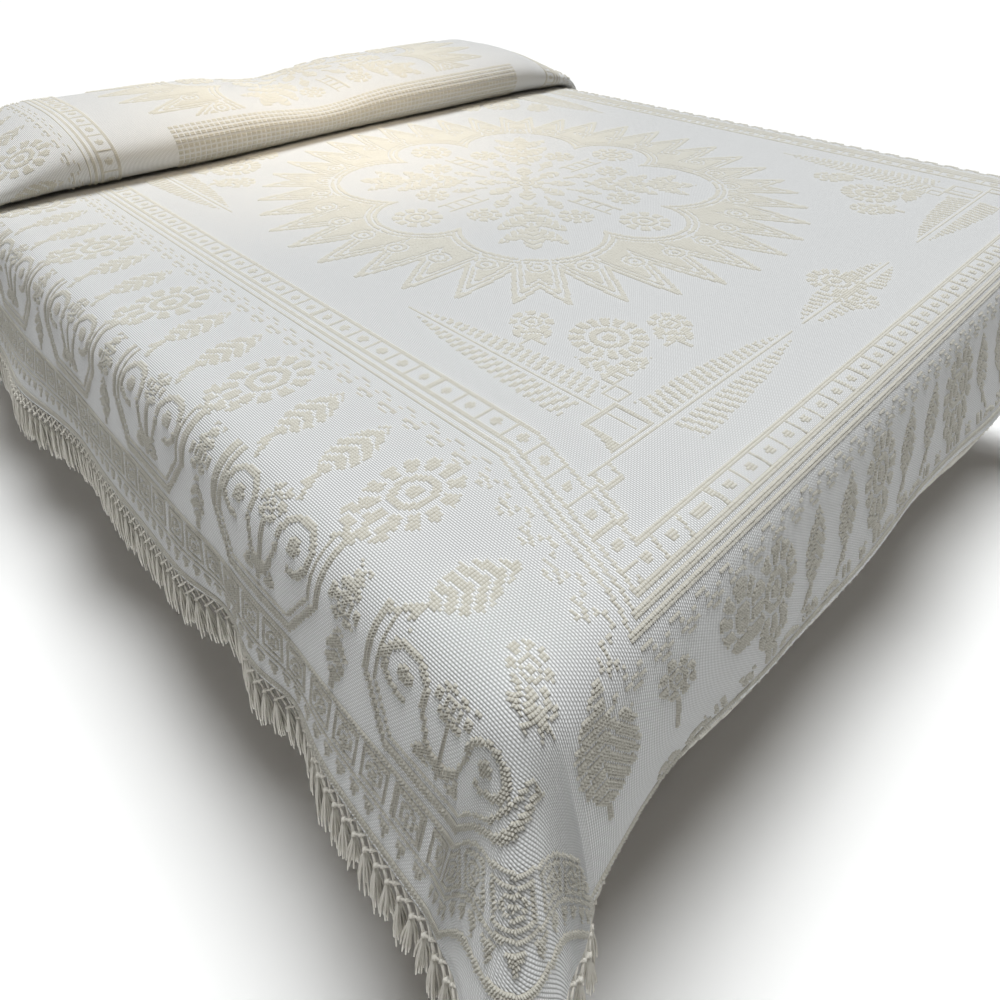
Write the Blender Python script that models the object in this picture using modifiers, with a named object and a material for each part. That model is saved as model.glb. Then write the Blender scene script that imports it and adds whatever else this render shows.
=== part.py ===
"""Fringed chenille bedspread laid over a made bed.

The bedspread is one woven sheet.  It lies on the mattress, falls over both long sides and over the
foot, swings out into a soft cone at each foot corner, is tucked in under the front of two pillows
and comes back over them.  A knotted fringe hangs from its two sides and its foot.

The frame is +Z up, the head of the bed towards +Y, the origin on the floor below the bed's centre.
Lengths are metres.
"""

import math

import bmesh
import bpy
import numpy as np

# The bed
MATTRESS_WIDTH = 1.52
MATTRESS_LENGTH = 2.03
MATTRESS_HEIGHT = 0.30
MATTRESS_EDGE_RADIUS = 0.04
MATTRESS_EDGE_SEGMENTS = 4
TOP_HEIGHT = 0.60  # floor to the top of the mattress
BASE_INSET = 0.06  # how far the base stands in from the mattress
BASE_EDGE_RADIUS = 0.012
BASE_EDGE_SEGMENTS = 2
TOUCH_GAP = 0.0003

# The sheet
SHEET_THICKNESS = 0.0025
SHEET_LIFT = 0.005  # mattress top to the middle of the sheet
SIDE_GAP = 0.009  # mattress side to the middle of the sheet
BEND_RADIUS = 0.05  # of the sheet over the mattress edge
CENTRE_X = 0.068  # the woven centre lies off the bed's middle, so the right side hangs lower
CENTRE_Y = -0.25
HALF_WIDTH = 1.03  # flat, from the woven centre to each side hem
CENTRE_TO_FOOT_HEM = 0.97
CORNER_CUT_RADIUS = 0.17  # the cut's rounded foot corners
HEAD_HEM_Y = 1.0

# The tuck and the pillows
LAYER = 0.007  # from one layer of the tuck to the next
TUCK_MOUTH_Y = 0.267
TUCK_DEPTH = 0.075
MOUTH_WAVE = 0.007  # how far the mouth's line waves
MOUTH_WAVE_RATES = (5.1, 11.3)  # radians per metre across the bed
MOUTH_WAVE_STARTS = (0.6, 2.0)
MOUTH_WAVE_IN = (-0.35, 0.30)  # from the mouth: where the wave starts, and the length it grows over
MOUTH_WAVE_OUT = (0.75, 0.20)  # along the bed: where it fades, and over what length
PILLOW_HEIGHT = 0.098
PILLOW_FRONT_RADIUS = 0.045
PILLOW_BULGE_SHARE = 0.42  # height of the foremost point, as a share of the pillow's height
PILLOW_CROWN_START = 0.20  # behind the mouth
PILLOW_CROWN_END = 0.28
PILLOW_BACK_RUN = 0.30
PILLOW_DIP = 0.26  # between the two pillows
PILLOW_DIP_X = -0.05
PILLOW_DIP_WIDTH = 0.13
PILLOW_FULL_X = 0.56  # the height is full to here, and gone at PILLOW_END_X along the sheet
PILLOW_END_X = 0.84
PILLOW_CLEARANCE = 0.009
PILLOW_REST_GAP = 0.001
PILLOW_END_POWER = 5  # how square a pillow's ends are
PILLOW_REACH_X = 0.74  # outer end of each pillow
PILLOW_HALF_GAP = 0.01  # between the two pillows
PILLOW_FRONT_INSET = 0.02  # how far the pillow's section stops short of the sheet's, along its line
PILLOW_BACK_INSET = 0.10
PILLOW_BACK_UNDERCUT = 0.03
PILLOW_LEAST_RISE = 0.003
PILLOW_SECTIONS = 13
PILLOW_SECTION_POINTS = (12, 4)  # over its top, along its underside

# Points on each stretch of the sheet's line
QUARTER_POINTS = 33
TURN_POINTS = 17
FALL_POINTS = 49
TOP_POINTS = 120
FLAT_POINTS = 9
HEAD_POINTS = 17

# How the skirt leans out: a little everywhere, more towards a corner, most on the corner's own cone
LEAN_BASE = math.radians(13.5)
LEAN_SPREAD = math.radians(5.0)
SPREAD_REACH = 1.0
CONE_REACH = {-1: 0.12, 1: 0.25}  # left corner, right corner
HEADING_REACH = 0.33
TURN_LENGTH = 0.41  # a length of edge that counts as much as a corner's quarter turn
CORNER_LEAN = {-1: math.radians(18.0), 1: math.radians(12.0)}
FOLD_POWER = 2.3  # how a fold grows from the mattress edge down to the hem
FOLD_DEEPEST = 1.3  # the most that a long fall adds to that growth
FOLD_FADE = 0.4  # share of a corner's turn over which the folds of each edge come in

# Soft folds of the skirt: place along the edge from the foot corner, half width, reach at the hem
FOLD_COLUMNS = ("place", "width", "reach")
LEFT_FOLDS = (
    (0.22, 0.05, -0.013),
    (0.37, 0.06, -0.016),
    (0.55, 0.10, -0.002),
    (0.80, 0.09, -0.006),
    (1.02, 0.10, 0.014),
    (1.30, 0.09, 0.010),
    (1.62, 0.13, 0.015),
)
FOOT_FOLDS = (
    (0.13, 0.14, -0.023),
    (0.36, 0.10, -0.006),
    (0.67, 0.09, -0.003),
    (0.95, 0.12, 0.012),
    (1.16, 0.08, -0.006),
)
RIGHT_FOLDS = (
    (0.30, 0.09, 0.014),
    (0.62, 0.10, -0.006),
    (0.88, 0.11, 0.016),
    (1.24, 0.10, 0.012),
    (1.58, 0.11, 0.008),
)

# The fringe
FRINGE_GAP = 0.0025
FRINGE_HEADING = 0.018
FRINGE_LENGTH = 0.085
FRINGE_THICKNESS = 0.004
LOCK_PITCH = 0.036
LOCK_SHARE = 0.58  # a lock's width as a share of its pitch
LOCK_TIP_SHARE = 0.75  # a lock's width at its tip as a share of its root
LOCK_UNEVEN = 0.06  # of the length
HANG_LEAN = 0.35  # share of the cloth's own direction in the way a lock hangs; the rest is plumb
FOOT_FRINGE_TUCK = 0.27  # how far the foot's fringe turns in under the hem, as a share of its drop
FOOT_TUCK_START = -0.05  # along the foot, in from the mattress's corner
FOOT_TUCK_LENGTH = 0.12

SHEET_Z = TOP_HEIGHT + SHEET_LIFT
BEND_X = MATTRESS_WIDTH / 2 + SIDE_GAP - BEND_RADIUS
BEND_Y = -(MATTRESS_LENGTH / 2 + SIDE_GAP - BEND_RADIUS)
TUCK_END_Y = TUCK_MOUTH_Y + TUCK_DEPTH
BEND_ARC = BEND_RADIUS * math.pi / 2
LEFT_FALL = HALF_WIDTH - CENTRE_X - BEND_X  # flat, from where the bend starts to the hem
RIGHT_FALL = HALF_WIDTH + CENTRE_X - BEND_X
FOOT_FALL = CENTRE_TO_FOOT_HEM - (CENTRE_Y - BEND_Y)
BEND_STEPS = 12

SHEET_COLOUR = (0.82, 0.80, 0.74)
FRINGE_COLOUR = (0.80, 0.78, 0.71)
MATTRESS_COLOUR = (0.85, 0.85, 0.84)
BASE_COLOUR = (0.45, 0.43, 0.40)
PILLOW_COLOUR = (0.88, 0.88, 0.87)
CHENILLE_ROUGHNESS = 0.95
COVER_ROUGHNESS = 0.9
FINE_CLOTH_ROUGHNESS = 0.85
SHARP_ANGLE = math.radians(50)


def clear_scene():
    for thing in list(bpy.data.objects):
        bpy.data.objects.remove(thing)


def cloth_material(name, colour, roughness):
    material = bpy.data.materials.new(name)
    material.use_nodes = True
    shader = material.node_tree.nodes["Principled BSDF"]
    shader.inputs["Base Color"].default_value = (*colour, 1.0)
    shader.inputs["Roughness"].default_value = roughness
    shader.inputs["Metallic"].default_value = 0.0
    return material


def make_object(name, mesh, collection, material):
    thing = bpy.data.objects.new(name, mesh)
    collection.objects.link(thing)
    mesh.materials.append(material)
    mesh.shade_smooth()
    mesh.set_sharp_from_angle(angle=SHARP_ANGLE)
    return thing


def ease(t):
    """Smooth step from 0 to 1."""
    t = np.clip(t, 0.0, 1.0)
    return t * t * (3 - 2 * t)


def hump(t):
    return np.exp(-(t**2))


# --- The sheet's line along the bed ---


def bed_line():
    """The sheet's line on the bed seen from its side, from the foot bend to the head hem.

    Returns its length so far, its place along the bed, its rise as a share of the pillow's height,
    how many layers of the tuck lie below it, and the lengths at which its stretches end.
    """
    quarter = np.linspace(0, math.pi / 2, QUARTER_POINTS)[1:]
    turn = np.linspace(0, math.pi, TURN_POINTS)[1:]
    fall = np.linspace(0, 1, FALL_POINTS)[1:]
    crown_end = TUCK_MOUTH_Y + PILLOW_CROWN_END
    back_end = crown_end + PILLOW_BACK_RUN
    under = PILLOW_BULGE_SHARE * (1 - np.cos(quarter))
    over = PILLOW_BULGE_SHARE + (1 - PILLOW_BULGE_SHARE) * np.sin(quarter)
    back = np.cos(fall * math.pi / 2) ** 2
    top = np.linspace(BEND_Y, TUCK_END_Y, TOP_POINTS)
    lower = np.linspace(TUCK_END_Y, TUCK_MOUTH_Y + PILLOW_FRONT_RADIUS, FLAT_POINTS)[1:]
    crown = np.linspace(TUCK_MOUTH_Y + PILLOW_CROWN_START, crown_end, FLAT_POINTS)[1:]
    head = np.linspace(back_end, HEAD_HEM_Y, HEAD_POINTS)[1:]
    stretches = {
        "top": (top, 0 * top, 0 * top),
        "fold": (TUCK_END_Y + LAYER / 2 * np.sin(turn), 0 * turn, (1 - np.cos(turn)) / 2),
        "lower": (lower, 0 * lower, 1 + 0 * lower),
        "front": (TUCK_MOUTH_Y + PILLOW_FRONT_RADIUS * (1 - np.sin(quarter)), under, 1 + under),
        "climb": (TUCK_MOUTH_Y + PILLOW_CROWN_START * (1 - np.cos(quarter)), over, 1 + over),
        "crown": (crown, 1 + 0 * crown, 2 + 0 * crown),
        "back": (crown_end + PILLOW_BACK_RUN * fall, back, 2 * back),
        "head": (head, 0 * head, 0 * head),
    }
    y, rise, layer = (np.concatenate([part[i] for part in stretches.values()]) for i in range(3))
    height = PILLOW_HEIGHT * rise + LAYER * layer
    run = np.concatenate([[0.0], np.cumsum(np.hypot(np.diff(y), np.diff(height)))])
    counts = np.cumsum([len(part[0]) for part in stretches.values()])
    ends = {name: float(run[count - 1]) for name, count in zip(stretches, counts)}
    return run, y, rise, layer, ends


LINE_RUN, LINE_Y, LINE_RISE, LINE_LAYER, LINE_END = bed_line()


def pillow_share(x):
    """Height of the sheet over the pillows at flat place x, as a share of the pillow's height."""
    dip = 1 - PILLOW_DIP * hump((x - PILLOW_DIP_X) / PILLOW_DIP_WIDTH)
    return dip * (1 - ease((np.abs(x) - PILLOW_FULL_X) / (PILLOW_END_X - PILLOW_FULL_X)))


def mouth_shift(x, y):
    """The tuck's mouth isn't straight: it waves a little across the bed."""
    slow, fast = (np.sin(r * x + s) for r, s in zip(MOUTH_WAVE_RATES, MOUTH_WAVE_STARTS))
    grown = ease((y - TUCK_MOUTH_Y - MOUTH_WAVE_IN[0]) / MOUTH_WAVE_IN[1])
    faded = ease((y - MOUTH_WAVE_OUT[0]) / MOUTH_WAVE_OUT[1])
    return MOUTH_WAVE * (slow + fast / 2) * grown * (1 - faded)


# --- The skirt ---


def folds_at(folds, place):
    total = 0 * place
    for row in folds:
        fold = dict(zip(FOLD_COLUMNS, row))
        total = total + fold["reach"] * hump((place - fold["place"]) / fold["width"])
    return total


def drape(x, run):
    """Where the flat point (x, run) hangs: x from the bed's middle, run from the foot bend.

    Beyond the edges the sheet turns down over the bend and then runs straight, on a line that leans
    and heads outwards.  At a corner those lines make a cone.
    """
    on_bed = np.maximum(run, 0)
    y = np.interp(on_bed, LINE_RUN, LINE_Y)
    rise = np.interp(on_bed, LINE_RUN, LINE_RISE)
    layer = np.interp(on_bed, LINE_RUN, LINE_LAYER)
    side = np.where(x < 0, -1.0, 1.0)
    past_side = np.maximum(np.abs(x) - BEND_X, 0)
    past_foot = np.maximum(-run, 0)
    past = np.hypot(past_side, past_foot)
    angle = np.where(past > 0, np.arctan2(past_foot, past_side), 0)
    from_corner = np.where(past_foot > 0, BEND_X - np.abs(x), y - BEND_Y)
    turn = np.where(
        (past_side > 0) & (past_foot > 0),
        angle / (math.pi / 2),
        np.where(past_foot > 0, 1 + from_corner / TURN_LENGTH, -from_corner / TURN_LENGTH),
    )
    cone = np.where(side < 0, CORNER_LEAN[-1], CORNER_LEAN[1])
    reach = np.where(side < 0, CONE_REACH[-1], CONE_REACH[1])
    lean = (
        LEAN_BASE
        + cone * hump((turn - 0.5) / reach)
        + LEAN_SPREAD * hump((turn - 0.5) / SPREAD_REACH)
    )
    heading = math.pi / 4 * (1 + np.tanh((turn - 0.5) / HEADING_REACH))
    bend_angle = math.pi / 2 - lean
    bend_length = BEND_RADIUS * bend_angle
    bent = np.minimum(past, bend_length)
    out_side, out_foot, down = 0 * past, 0 * past, 0 * past
    for step in range(BEND_STEPS):
        at = bent * (step + 0.5) / BEND_STEPS
        slope = at / BEND_RADIUS
        plan = angle + (heading - angle) * ease(at / bend_length)
        out_side = out_side + bent / BEND_STEPS * np.cos(slope) * np.cos(plan)
        out_foot = out_foot + bent / BEND_STEPS * np.cos(slope) * np.sin(plan)
        down = down + bent / BEND_STEPS * np.sin(slope)
    straight = past - bent
    out_side = out_side + straight * np.sin(lean) * np.cos(heading)
    out_foot = out_foot + straight * np.sin(lean) * np.sin(heading)
    down = down + straight * np.cos(lean)

    slope = bent / BEND_RADIUS
    plan = angle + (heading - angle) * ease(bent / bend_length)
    deep = np.clip(straight / (LEFT_FALL - BEND_ARC), 0, FOLD_DEEPEST) ** FOLD_POWER
    on_side = 1 - ease(turn / FOLD_FADE)
    on_foot = ease((turn - 1 + FOLD_FADE) / FOLD_FADE)
    edge_place = np.maximum(y - BEND_Y, 0)
    along_side = np.where(side < 0, folds_at(LEFT_FOLDS, edge_place), folds_at(RIGHT_FOLDS, edge_place))
    along_foot = folds_at(FOOT_FOLDS, np.minimum(x, BEND_X) + BEND_X)
    fold = deep * (on_side * along_side + on_foot * along_foot)
    lift = PILLOW_HEIGHT * rise * pillow_share(x) + LAYER * layer
    out = fold + lift * np.sin(slope)
    world_x = np.clip(x, -BEND_X, BEND_X) + side * (out_side + out * np.cos(plan))
    world_y = y + mouth_shift(x, y) - out_foot - out * np.sin(plan)
    world_z = SHEET_Z - down + lift * np.cos(slope)
    return np.stack([world_x, world_y, world_z], axis=-1)


def round_the_cut(x, run):
    """Moves a point of the uncut rectangle in towards the bed, so that the foot corners are round."""
    side = np.where(x < 0, -1.0, 1.0)
    fall = np.where(x < 0, LEFT_FALL, RIGHT_FALL)
    a = np.maximum(np.abs(x) - BEND_X, 0)
    b = np.maximum(-run, 0)
    angle = np.arctan2(b, np.maximum(a, 1e-9))
    square = np.minimum(fall / np.maximum(np.cos(angle), 1e-9), FOOT_FALL / np.maximum(np.sin(angle), 1e-9))
    centre_a, centre_b = fall - CORNER_CUT_RADIUS, FOOT_FALL - CORNER_CUT_RADIUS
    towards = centre_a * np.cos(angle) + centre_b * np.sin(angle)
    across = np.maximum(CORNER_CUT_RADIUS**2 - (centre_a**2 + centre_b**2 - towards**2), 0)
    rounded = towards + np.sqrt(across)
    low, high = np.arctan2(centre_b, fall), np.arctan2(FOOT_FALL, centre_a)
    share = np.where((angle > low) & (angle < high), rounded / square, 1.0)
    corner = (a > 0) & (b > 0)
    share = np.where(corner, share, 1.0)
    new_x = np.where(corner, side * (BEND_X + a * share), x)
    new_run = np.where(corner, -b * share, run)
    return new_x, new_run


# --- The sheet as a mesh ---


def stations(spans):
    """Places from spans of (start, stop, steps), each span starting where the last one stopped."""
    places = [spans[0][0]]
    for start, stop, steps in spans:
        places += [start + (stop - start) * (i + 1) / steps for i in range(steps)]
    return places


def sheet_columns():
    return stations(
        (
            (-BEND_X - LEFT_FALL, -BEND_X - BEND_ARC, 11),
            (-BEND_X - BEND_ARC, -BEND_X, 4),
            (-BEND_X, -PILLOW_FULL_X, 2),
            (-PILLOW_FULL_X, PILLOW_FULL_X, 7),
            (PILLOW_FULL_X, BEND_X, 2),
            (BEND_X, BEND_X + BEND_ARC, 4),
            (BEND_X + BEND_ARC, BEND_X + RIGHT_FALL, 12),
        )
    )


def sheet_rows():
    tuck_start = LINE_END["top"] - TUCK_DEPTH
    return stations(
        (
            (-FOOT_FALL, -BEND_ARC, 11),
            (-BEND_ARC, 0.0, 4),
            (0.0, tuck_start, 17),
            (tuck_start, LINE_END["top"], 1),
            (LINE_END["top"], LINE_END["fold"], 4),
            (LINE_END["fold"], LINE_END["lower"], 1),
            (LINE_END["lower"], LINE_END["front"], 3),
            (LINE_END["front"], LINE_END["climb"], 6),
            (LINE_END["climb"], LINE_END["back"], 7),
            (LINE_END["back"], LINE_END["head"], 2),
        )
    )


def build_sheet(collection, material):
    columns, rows = sheet_columns(), sheet_rows()
    mesh = bpy.data.meshes.new("bedspread")
    form = bmesh.new()
    bmesh.ops.create_grid(form, x_segments=len(columns) - 1, y_segments=len(rows) - 1, size=0.5)
    form.verts.ensure_lookup_table()
    column_of = [round((vertex.co.x + 0.5) * (len(columns) - 1)) for vertex in form.verts]
    row_of = [round((vertex.co.y + 0.5) * (len(rows) - 1)) for vertex in form.verts]
    x, run = round_the_cut(np.array(columns)[column_of], np.array(rows)[row_of])
    for vertex, place in zip(form.verts, drape(x, run)):
        vertex.co = place
    form.to_mesh(mesh)
    form.free()
    sheet = make_object("bedspread", mesh, collection, material)
    solid = sheet.modifiers.new("thickness", "SOLIDIFY")
    solid.thickness = SHEET_THICKNESS
    solid.offset = 0.0
    return sheet


# --- The fringe ---


def hem_path():
    """The flat hem from the head end of the left side, round the foot, to the head end of the right."""
    step = 0.004
    left_end, right_end = -BEND_X - LEFT_FALL, BEND_X + RIGHT_FALL
    down_left = [(left_end, run) for run in np.arange(LINE_END["head"], -FOOT_FALL, -step)]
    across = [(x, -FOOT_FALL) for x in np.arange(left_end, right_end, step)]
    up_right = [(right_end, run) for run in np.arange(-FOOT_FALL, LINE_END["head"], step)]
    path = np.array(down_left + across + up_right)
    x, run = round_the_cut(path[:, 0], path[:, 1])
    return np.stack([x, run], axis=-1)


def hem_points(path, beyond):
    """The hung hem, moved on by a length past the sheet's edge, in the sheet's own direction there."""
    inward = 0.01
    x, run = path[:, 0], path[:, 1]
    edge = drape(x, run)
    core_x = np.clip(x, -BEND_X, BEND_X)
    core_run = np.maximum(run, 0)
    length = np.maximum(np.hypot(x - core_x, run - core_run), 1e-9)
    back = drape(x - (x - core_x) / length * inward, run - (run - core_run) / length * inward)
    direction = (edge - back) / np.linalg.norm(edge - back, axis=-1, keepdims=True)
    return edge, edge + direction * beyond, direction


def corner_places(path):
    """Where along the hem the middles of the two foot corners are."""
    left_corner = int(np.argmin(np.hypot(path[:, 0] + BEND_X + LEFT_FALL, path[:, 1] + FOOT_FALL)))
    right_corner = int(np.argmin(np.hypot(path[:, 0] - BEND_X - RIGHT_FALL, path[:, 1] + FOOT_FALL)))
    return left_corner, right_corner


def even_locks(edge, first, last):
    """Indices along the hem at a lock's root edges: pairs a lock apart, then a gap apart."""
    run = np.concatenate([[0.0], np.cumsum(np.linalg.norm(np.diff(edge[first:last], axis=0), axis=-1))])
    locks = int(run[-1] / LOCK_PITCH)
    pitch = run[-1] / locks
    margin = pitch * (1 - LOCK_SHARE) / 2
    places = [0.0]
    for lock in range(locks):
        places += [lock * pitch + margin, (lock + 1) * pitch - margin]
    places.append(run[-1])
    return [first + int(np.argmin(np.abs(run - place))) for place in places]


def foot_share(flat_place):
    """How much of the full turn under the foot hem the fringe has; none at the cut corners."""
    x, run = flat_place
    on_foot_hem = run < -FOOT_FALL + SHEET_THICKNESS
    if not on_foot_hem:
        return 0.0
    return float(ease((BEND_X - abs(x) - FOOT_TUCK_START) / FOOT_TUCK_LENGTH))


def turned_in(way, share):
    """The way the fringe hangs, turned in under the foot by a share."""
    way = way * (1 - share) + np.array((0.0, FOOT_FRINGE_TUCK, -1.0)) * share
    return way / np.linalg.norm(way)


def build_fringe(name, path, first, last, collection, material):
    """A strip below the hem with hanging locks, made as one comb-shaped sheet with a thickness."""
    edge, top, direction = hem_points(path, FRINGE_GAP)
    picks = even_locks(edge, first, last)
    mesh = bpy.data.meshes.new(name)
    form = bmesh.new()
    upper = [form.verts.new(top[i]) for i in picks]
    shares = [foot_share(path[i]) for i in picks]
    ways = [turned_in(direction[i], share) for i, share in zip(picks, shares)]
    lower_places = [top[i] + way * FRINGE_HEADING for i, way in zip(picks, ways)]
    lower = [form.verts.new(place) for place in lower_places]
    for i in range(len(picks) - 1):
        form.faces.new((upper[i], lower[i], lower[i + 1], upper[i + 1]))
        is_lock = i % 2 == 1
        if not is_lock:
            continue
        middle = (lower_places[i] + lower_places[i + 1]) / 2
        half = (lower_places[i + 1] - lower_places[i]) / 2 * LOCK_TIP_SHARE
        length = (FRINGE_LENGTH - FRINGE_HEADING) * (1 + LOCK_UNEVEN * math.sin(2.3 * i))
        lean = (direction[picks[i]] + direction[picks[i + 1]]) / 2
        hang = turned_in(lean * HANG_LEAN + np.array((0.0, 0.0, -1.0)) * (1 - HANG_LEAN), shares[i])
        tips = [form.verts.new(middle + hang * length + half * sign) for sign in (-1, 1)]
        form.faces.new((lower[i], tips[0], tips[1], lower[i + 1]))
    bmesh.ops.recalc_face_normals(form, faces=form.faces)
    form.to_mesh(mesh)
    form.free()
    fringe = make_object(name, mesh, collection, material)
    solid = fringe.modifiers.new("thickness", "SOLIDIFY")
    solid.thickness = FRINGE_THICKNESS
    solid.offset = 0.0
    return fringe


def build_fringes(collection, material):
    path = hem_path()
    # The sheet's side hem doubles back inside the tuck, so the fringe leaves that stretch out.
    outside = (path[:, 1] > LINE_END["front"]) | (path[:, 1] < LINE_END["top"] - TUCK_DEPTH)
    path = path[outside]
    left_corner, right_corner = corner_places(path)
    return [
        build_fringe("fringe_left", path, 0, left_corner - 1, collection, material),
        build_fringe("fringe_foot", path, left_corner + 1, right_corner - 1, collection, material),
        build_fringe("fringe_right", path, right_corner + 1, len(path), collection, material),
    ]


# --- What the sheet lies on ---


def build_block(name, size, bottom, radius, segments, collection, material):
    mesh = bpy.data.meshes.new(name)
    form = bmesh.new()
    bmesh.ops.create_cube(form, size=1.0)
    for vertex in form.verts:
        vertex.co = (
            vertex.co.x * size[0],
            vertex.co.y * size[1],
            bottom + (vertex.co.z + 0.5) * size[2],
        )
    form.to_mesh(mesh)
    form.free()
    block = make_object(name, mesh, collection, material)
    bevel = block.modifiers.new("round edges", "BEVEL")
    bevel.width = radius
    bevel.segments = segments
    bevel.limit_method = "ANGLE"
    return block


def pillow_ring(x, start, stop):
    """One section of a pillow: the sheet's line moved in by the clearance, and a flat underside."""
    underside = LAYER + SHEET_THICKNESS / 2 + PILLOW_REST_GAP
    over_points, under_points = PILLOW_SECTION_POINTS
    first, last = LINE_END["front"] - PILLOW_FRONT_INSET, LINE_END["back"] - PILLOW_BACK_INSET
    run = np.linspace(first, last, over_points)
    step = 0.002
    y, later_y = np.interp(run, LINE_RUN, LINE_Y), np.interp(run + step, LINE_RUN, LINE_Y)
    share = float(pillow_share(x))
    line_height = PILLOW_HEIGHT * LINE_RISE * share + LAYER * LINE_LAYER
    z, later_z = np.interp(run, LINE_RUN, line_height), np.interp(run + step, LINE_RUN, line_height)
    along, up = later_y - y, later_z - z
    inset = PILLOW_CLEARANCE / np.hypot(along, up)
    y, z = y + inset * up, z - inset * along
    middle, half = (start + stop) / 2, (stop - start) / 2
    end = (1 - abs((x - middle) / half) ** PILLOW_END_POWER) ** 0.5
    z = underside + np.maximum(z - underside, PILLOW_LEAST_RISE) * end
    low_y = np.linspace(y[-1] - PILLOW_BACK_UNDERCUT, TUCK_MOUTH_Y + PILLOW_FRONT_RADIUS, under_points)
    y, z = np.concatenate([y, low_y]), np.concatenate([z, 0 * low_y + underside])
    return [(x, place + float(mouth_shift(x, place)), SHEET_Z + rise) for place, rise in zip(y, z)]


def build_pillow(name, start, stop, collection, material):
    mesh = bpy.data.meshes.new(name)
    form = bmesh.new()
    places = [pillow_ring(x, start, stop) for x in np.linspace(start, stop, PILLOW_SECTIONS)[1:-1]]
    rings = [[form.verts.new(place) for place in ring] for ring in places]
    for ring, following in zip(rings, rings[1:]):
        for i in range(len(ring)):
            j = (i + 1) % len(ring)
            form.faces.new((ring[i], ring[j], following[j], following[i]))
    form.faces.new(rings[0])
    form.faces.new(rings[-1])
    bmesh.ops.recalc_face_normals(form, faces=form.faces)
    form.to_mesh(mesh)
    form.free()
    return make_object(name, mesh, collection, material)


def build():
    clear_scene()
    collection = bpy.data.collections.new("bedspread_on_bed")
    bpy.context.scene.collection.children.link(collection)
    mattress_bottom = TOP_HEIGHT - MATTRESS_HEIGHT
    build_block(
        "bed_base",
        (MATTRESS_WIDTH - 2 * BASE_INSET, MATTRESS_LENGTH - 2 * BASE_INSET, mattress_bottom - TOUCH_GAP),
        0.0,
        BASE_EDGE_RADIUS,
        BASE_EDGE_SEGMENTS,
        collection,
        cloth_material("base_cloth", BASE_COLOUR, COVER_ROUGHNESS),
    )
    build_block(
        "mattress",
        (MATTRESS_WIDTH, MATTRESS_LENGTH, MATTRESS_HEIGHT),
        mattress_bottom,
        MATTRESS_EDGE_RADIUS,
        MATTRESS_EDGE_SEGMENTS,
        collection,
        cloth_material("ticking", MATTRESS_COLOUR, FINE_CLOTH_ROUGHNESS),
    )
    pillow_case = cloth_material("pillow_case", PILLOW_COLOUR, FINE_CLOTH_ROUGHNESS)
    left_end, right_start = PILLOW_DIP_X - PILLOW_HALF_GAP, PILLOW_DIP_X + PILLOW_HALF_GAP
    build_pillow("pillow_left", -PILLOW_REACH_X, left_end, collection, pillow_case)
    build_pillow("pillow_right", right_start, PILLOW_REACH_X, collection, pillow_case)
    build_sheet(collection, cloth_material("woven_cotton", SHEET_COLOUR, CHENILLE_ROUGHNESS))
    build_fringes(collection, cloth_material("fringe_yarn", FRINGE_COLOUR, CHENILLE_ROUGHNESS))


build()
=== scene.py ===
"""Looks of a fringed chenille bedspread laid over a made bed.

The spread is a thin ribbed cloth on the folds of its solid, with a loop pile raised on it wherever
the woven design calls for pile, and a knotted fringe round its two sides and its foot.  Under it
are a mattress on a covered base and two pillows.

Lengths are metres.  A place on the flat cloth is (u, v): u across the bed and v along it towards
the head, both from the middle of the medallion.  The cloth's UV map holds (u, v).
"""

import math
from functools import partialmethod

import bmesh
import bpy
import numpy as np
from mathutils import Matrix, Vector


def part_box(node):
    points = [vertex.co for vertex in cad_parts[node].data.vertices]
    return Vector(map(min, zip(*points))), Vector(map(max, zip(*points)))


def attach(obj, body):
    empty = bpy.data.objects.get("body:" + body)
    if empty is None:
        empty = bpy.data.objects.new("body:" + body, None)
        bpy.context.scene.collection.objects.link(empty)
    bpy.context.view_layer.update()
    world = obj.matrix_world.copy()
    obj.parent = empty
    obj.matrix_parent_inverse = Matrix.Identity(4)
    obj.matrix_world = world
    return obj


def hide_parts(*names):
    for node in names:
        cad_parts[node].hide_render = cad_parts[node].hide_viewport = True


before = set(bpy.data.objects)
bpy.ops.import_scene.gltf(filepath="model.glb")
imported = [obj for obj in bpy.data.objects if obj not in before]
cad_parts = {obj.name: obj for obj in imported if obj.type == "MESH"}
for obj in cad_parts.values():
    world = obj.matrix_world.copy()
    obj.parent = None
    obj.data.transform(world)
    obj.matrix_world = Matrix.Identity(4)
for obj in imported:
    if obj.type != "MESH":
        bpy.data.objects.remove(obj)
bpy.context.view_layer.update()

# --- The bed, from the frame ---

mattress_low, mattress_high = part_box("mattress")
TOP_HEIGHT = mattress_high.z

# --- The sheet, as its solid hangs ---

SHEET_THICKNESS = 0.0025
SHEET_LIFT = 0.005
SIDE_GAP = 0.009  # mattress side to the middle of the sheet
BEND_RADIUS = 0.05
CENTRE_X = 0.068
CENTRE_Y = -0.25
HALF_WIDTH = 1.03  # flat, from the woven centre to each side hem
CENTRE_TO_FOOT_HEM = 0.97
CORNER_CUT_RADIUS = 0.17  # the cut's rounded foot corners
HEAD_HEM_Y = 1.0
LAYER = 0.007
TUCK_MOUTH_Y = 0.267
TUCK_DEPTH = 0.075
MOUTH_WAVE = 0.007
MOUTH_WAVE_RATES = (5.1, 11.3)
MOUTH_WAVE_STARTS = (0.6, 2.0)
MOUTH_WAVE_IN = (-0.35, 0.30)
MOUTH_WAVE_OUT = (0.75, 0.20)
PILLOW_HEIGHT = 0.098
PILLOW_FRONT_RADIUS = 0.045
PILLOW_BULGE_SHARE = 0.42
PILLOW_CROWN_START = 0.20
PILLOW_CROWN_END = 0.28
PILLOW_BACK_RUN = 0.30
PILLOW_DIP = 0.26
PILLOW_DIP_X = -0.05
PILLOW_DIP_WIDTH = 0.13
PILLOW_FULL_X = 0.56
PILLOW_END_X = 0.84
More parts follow.
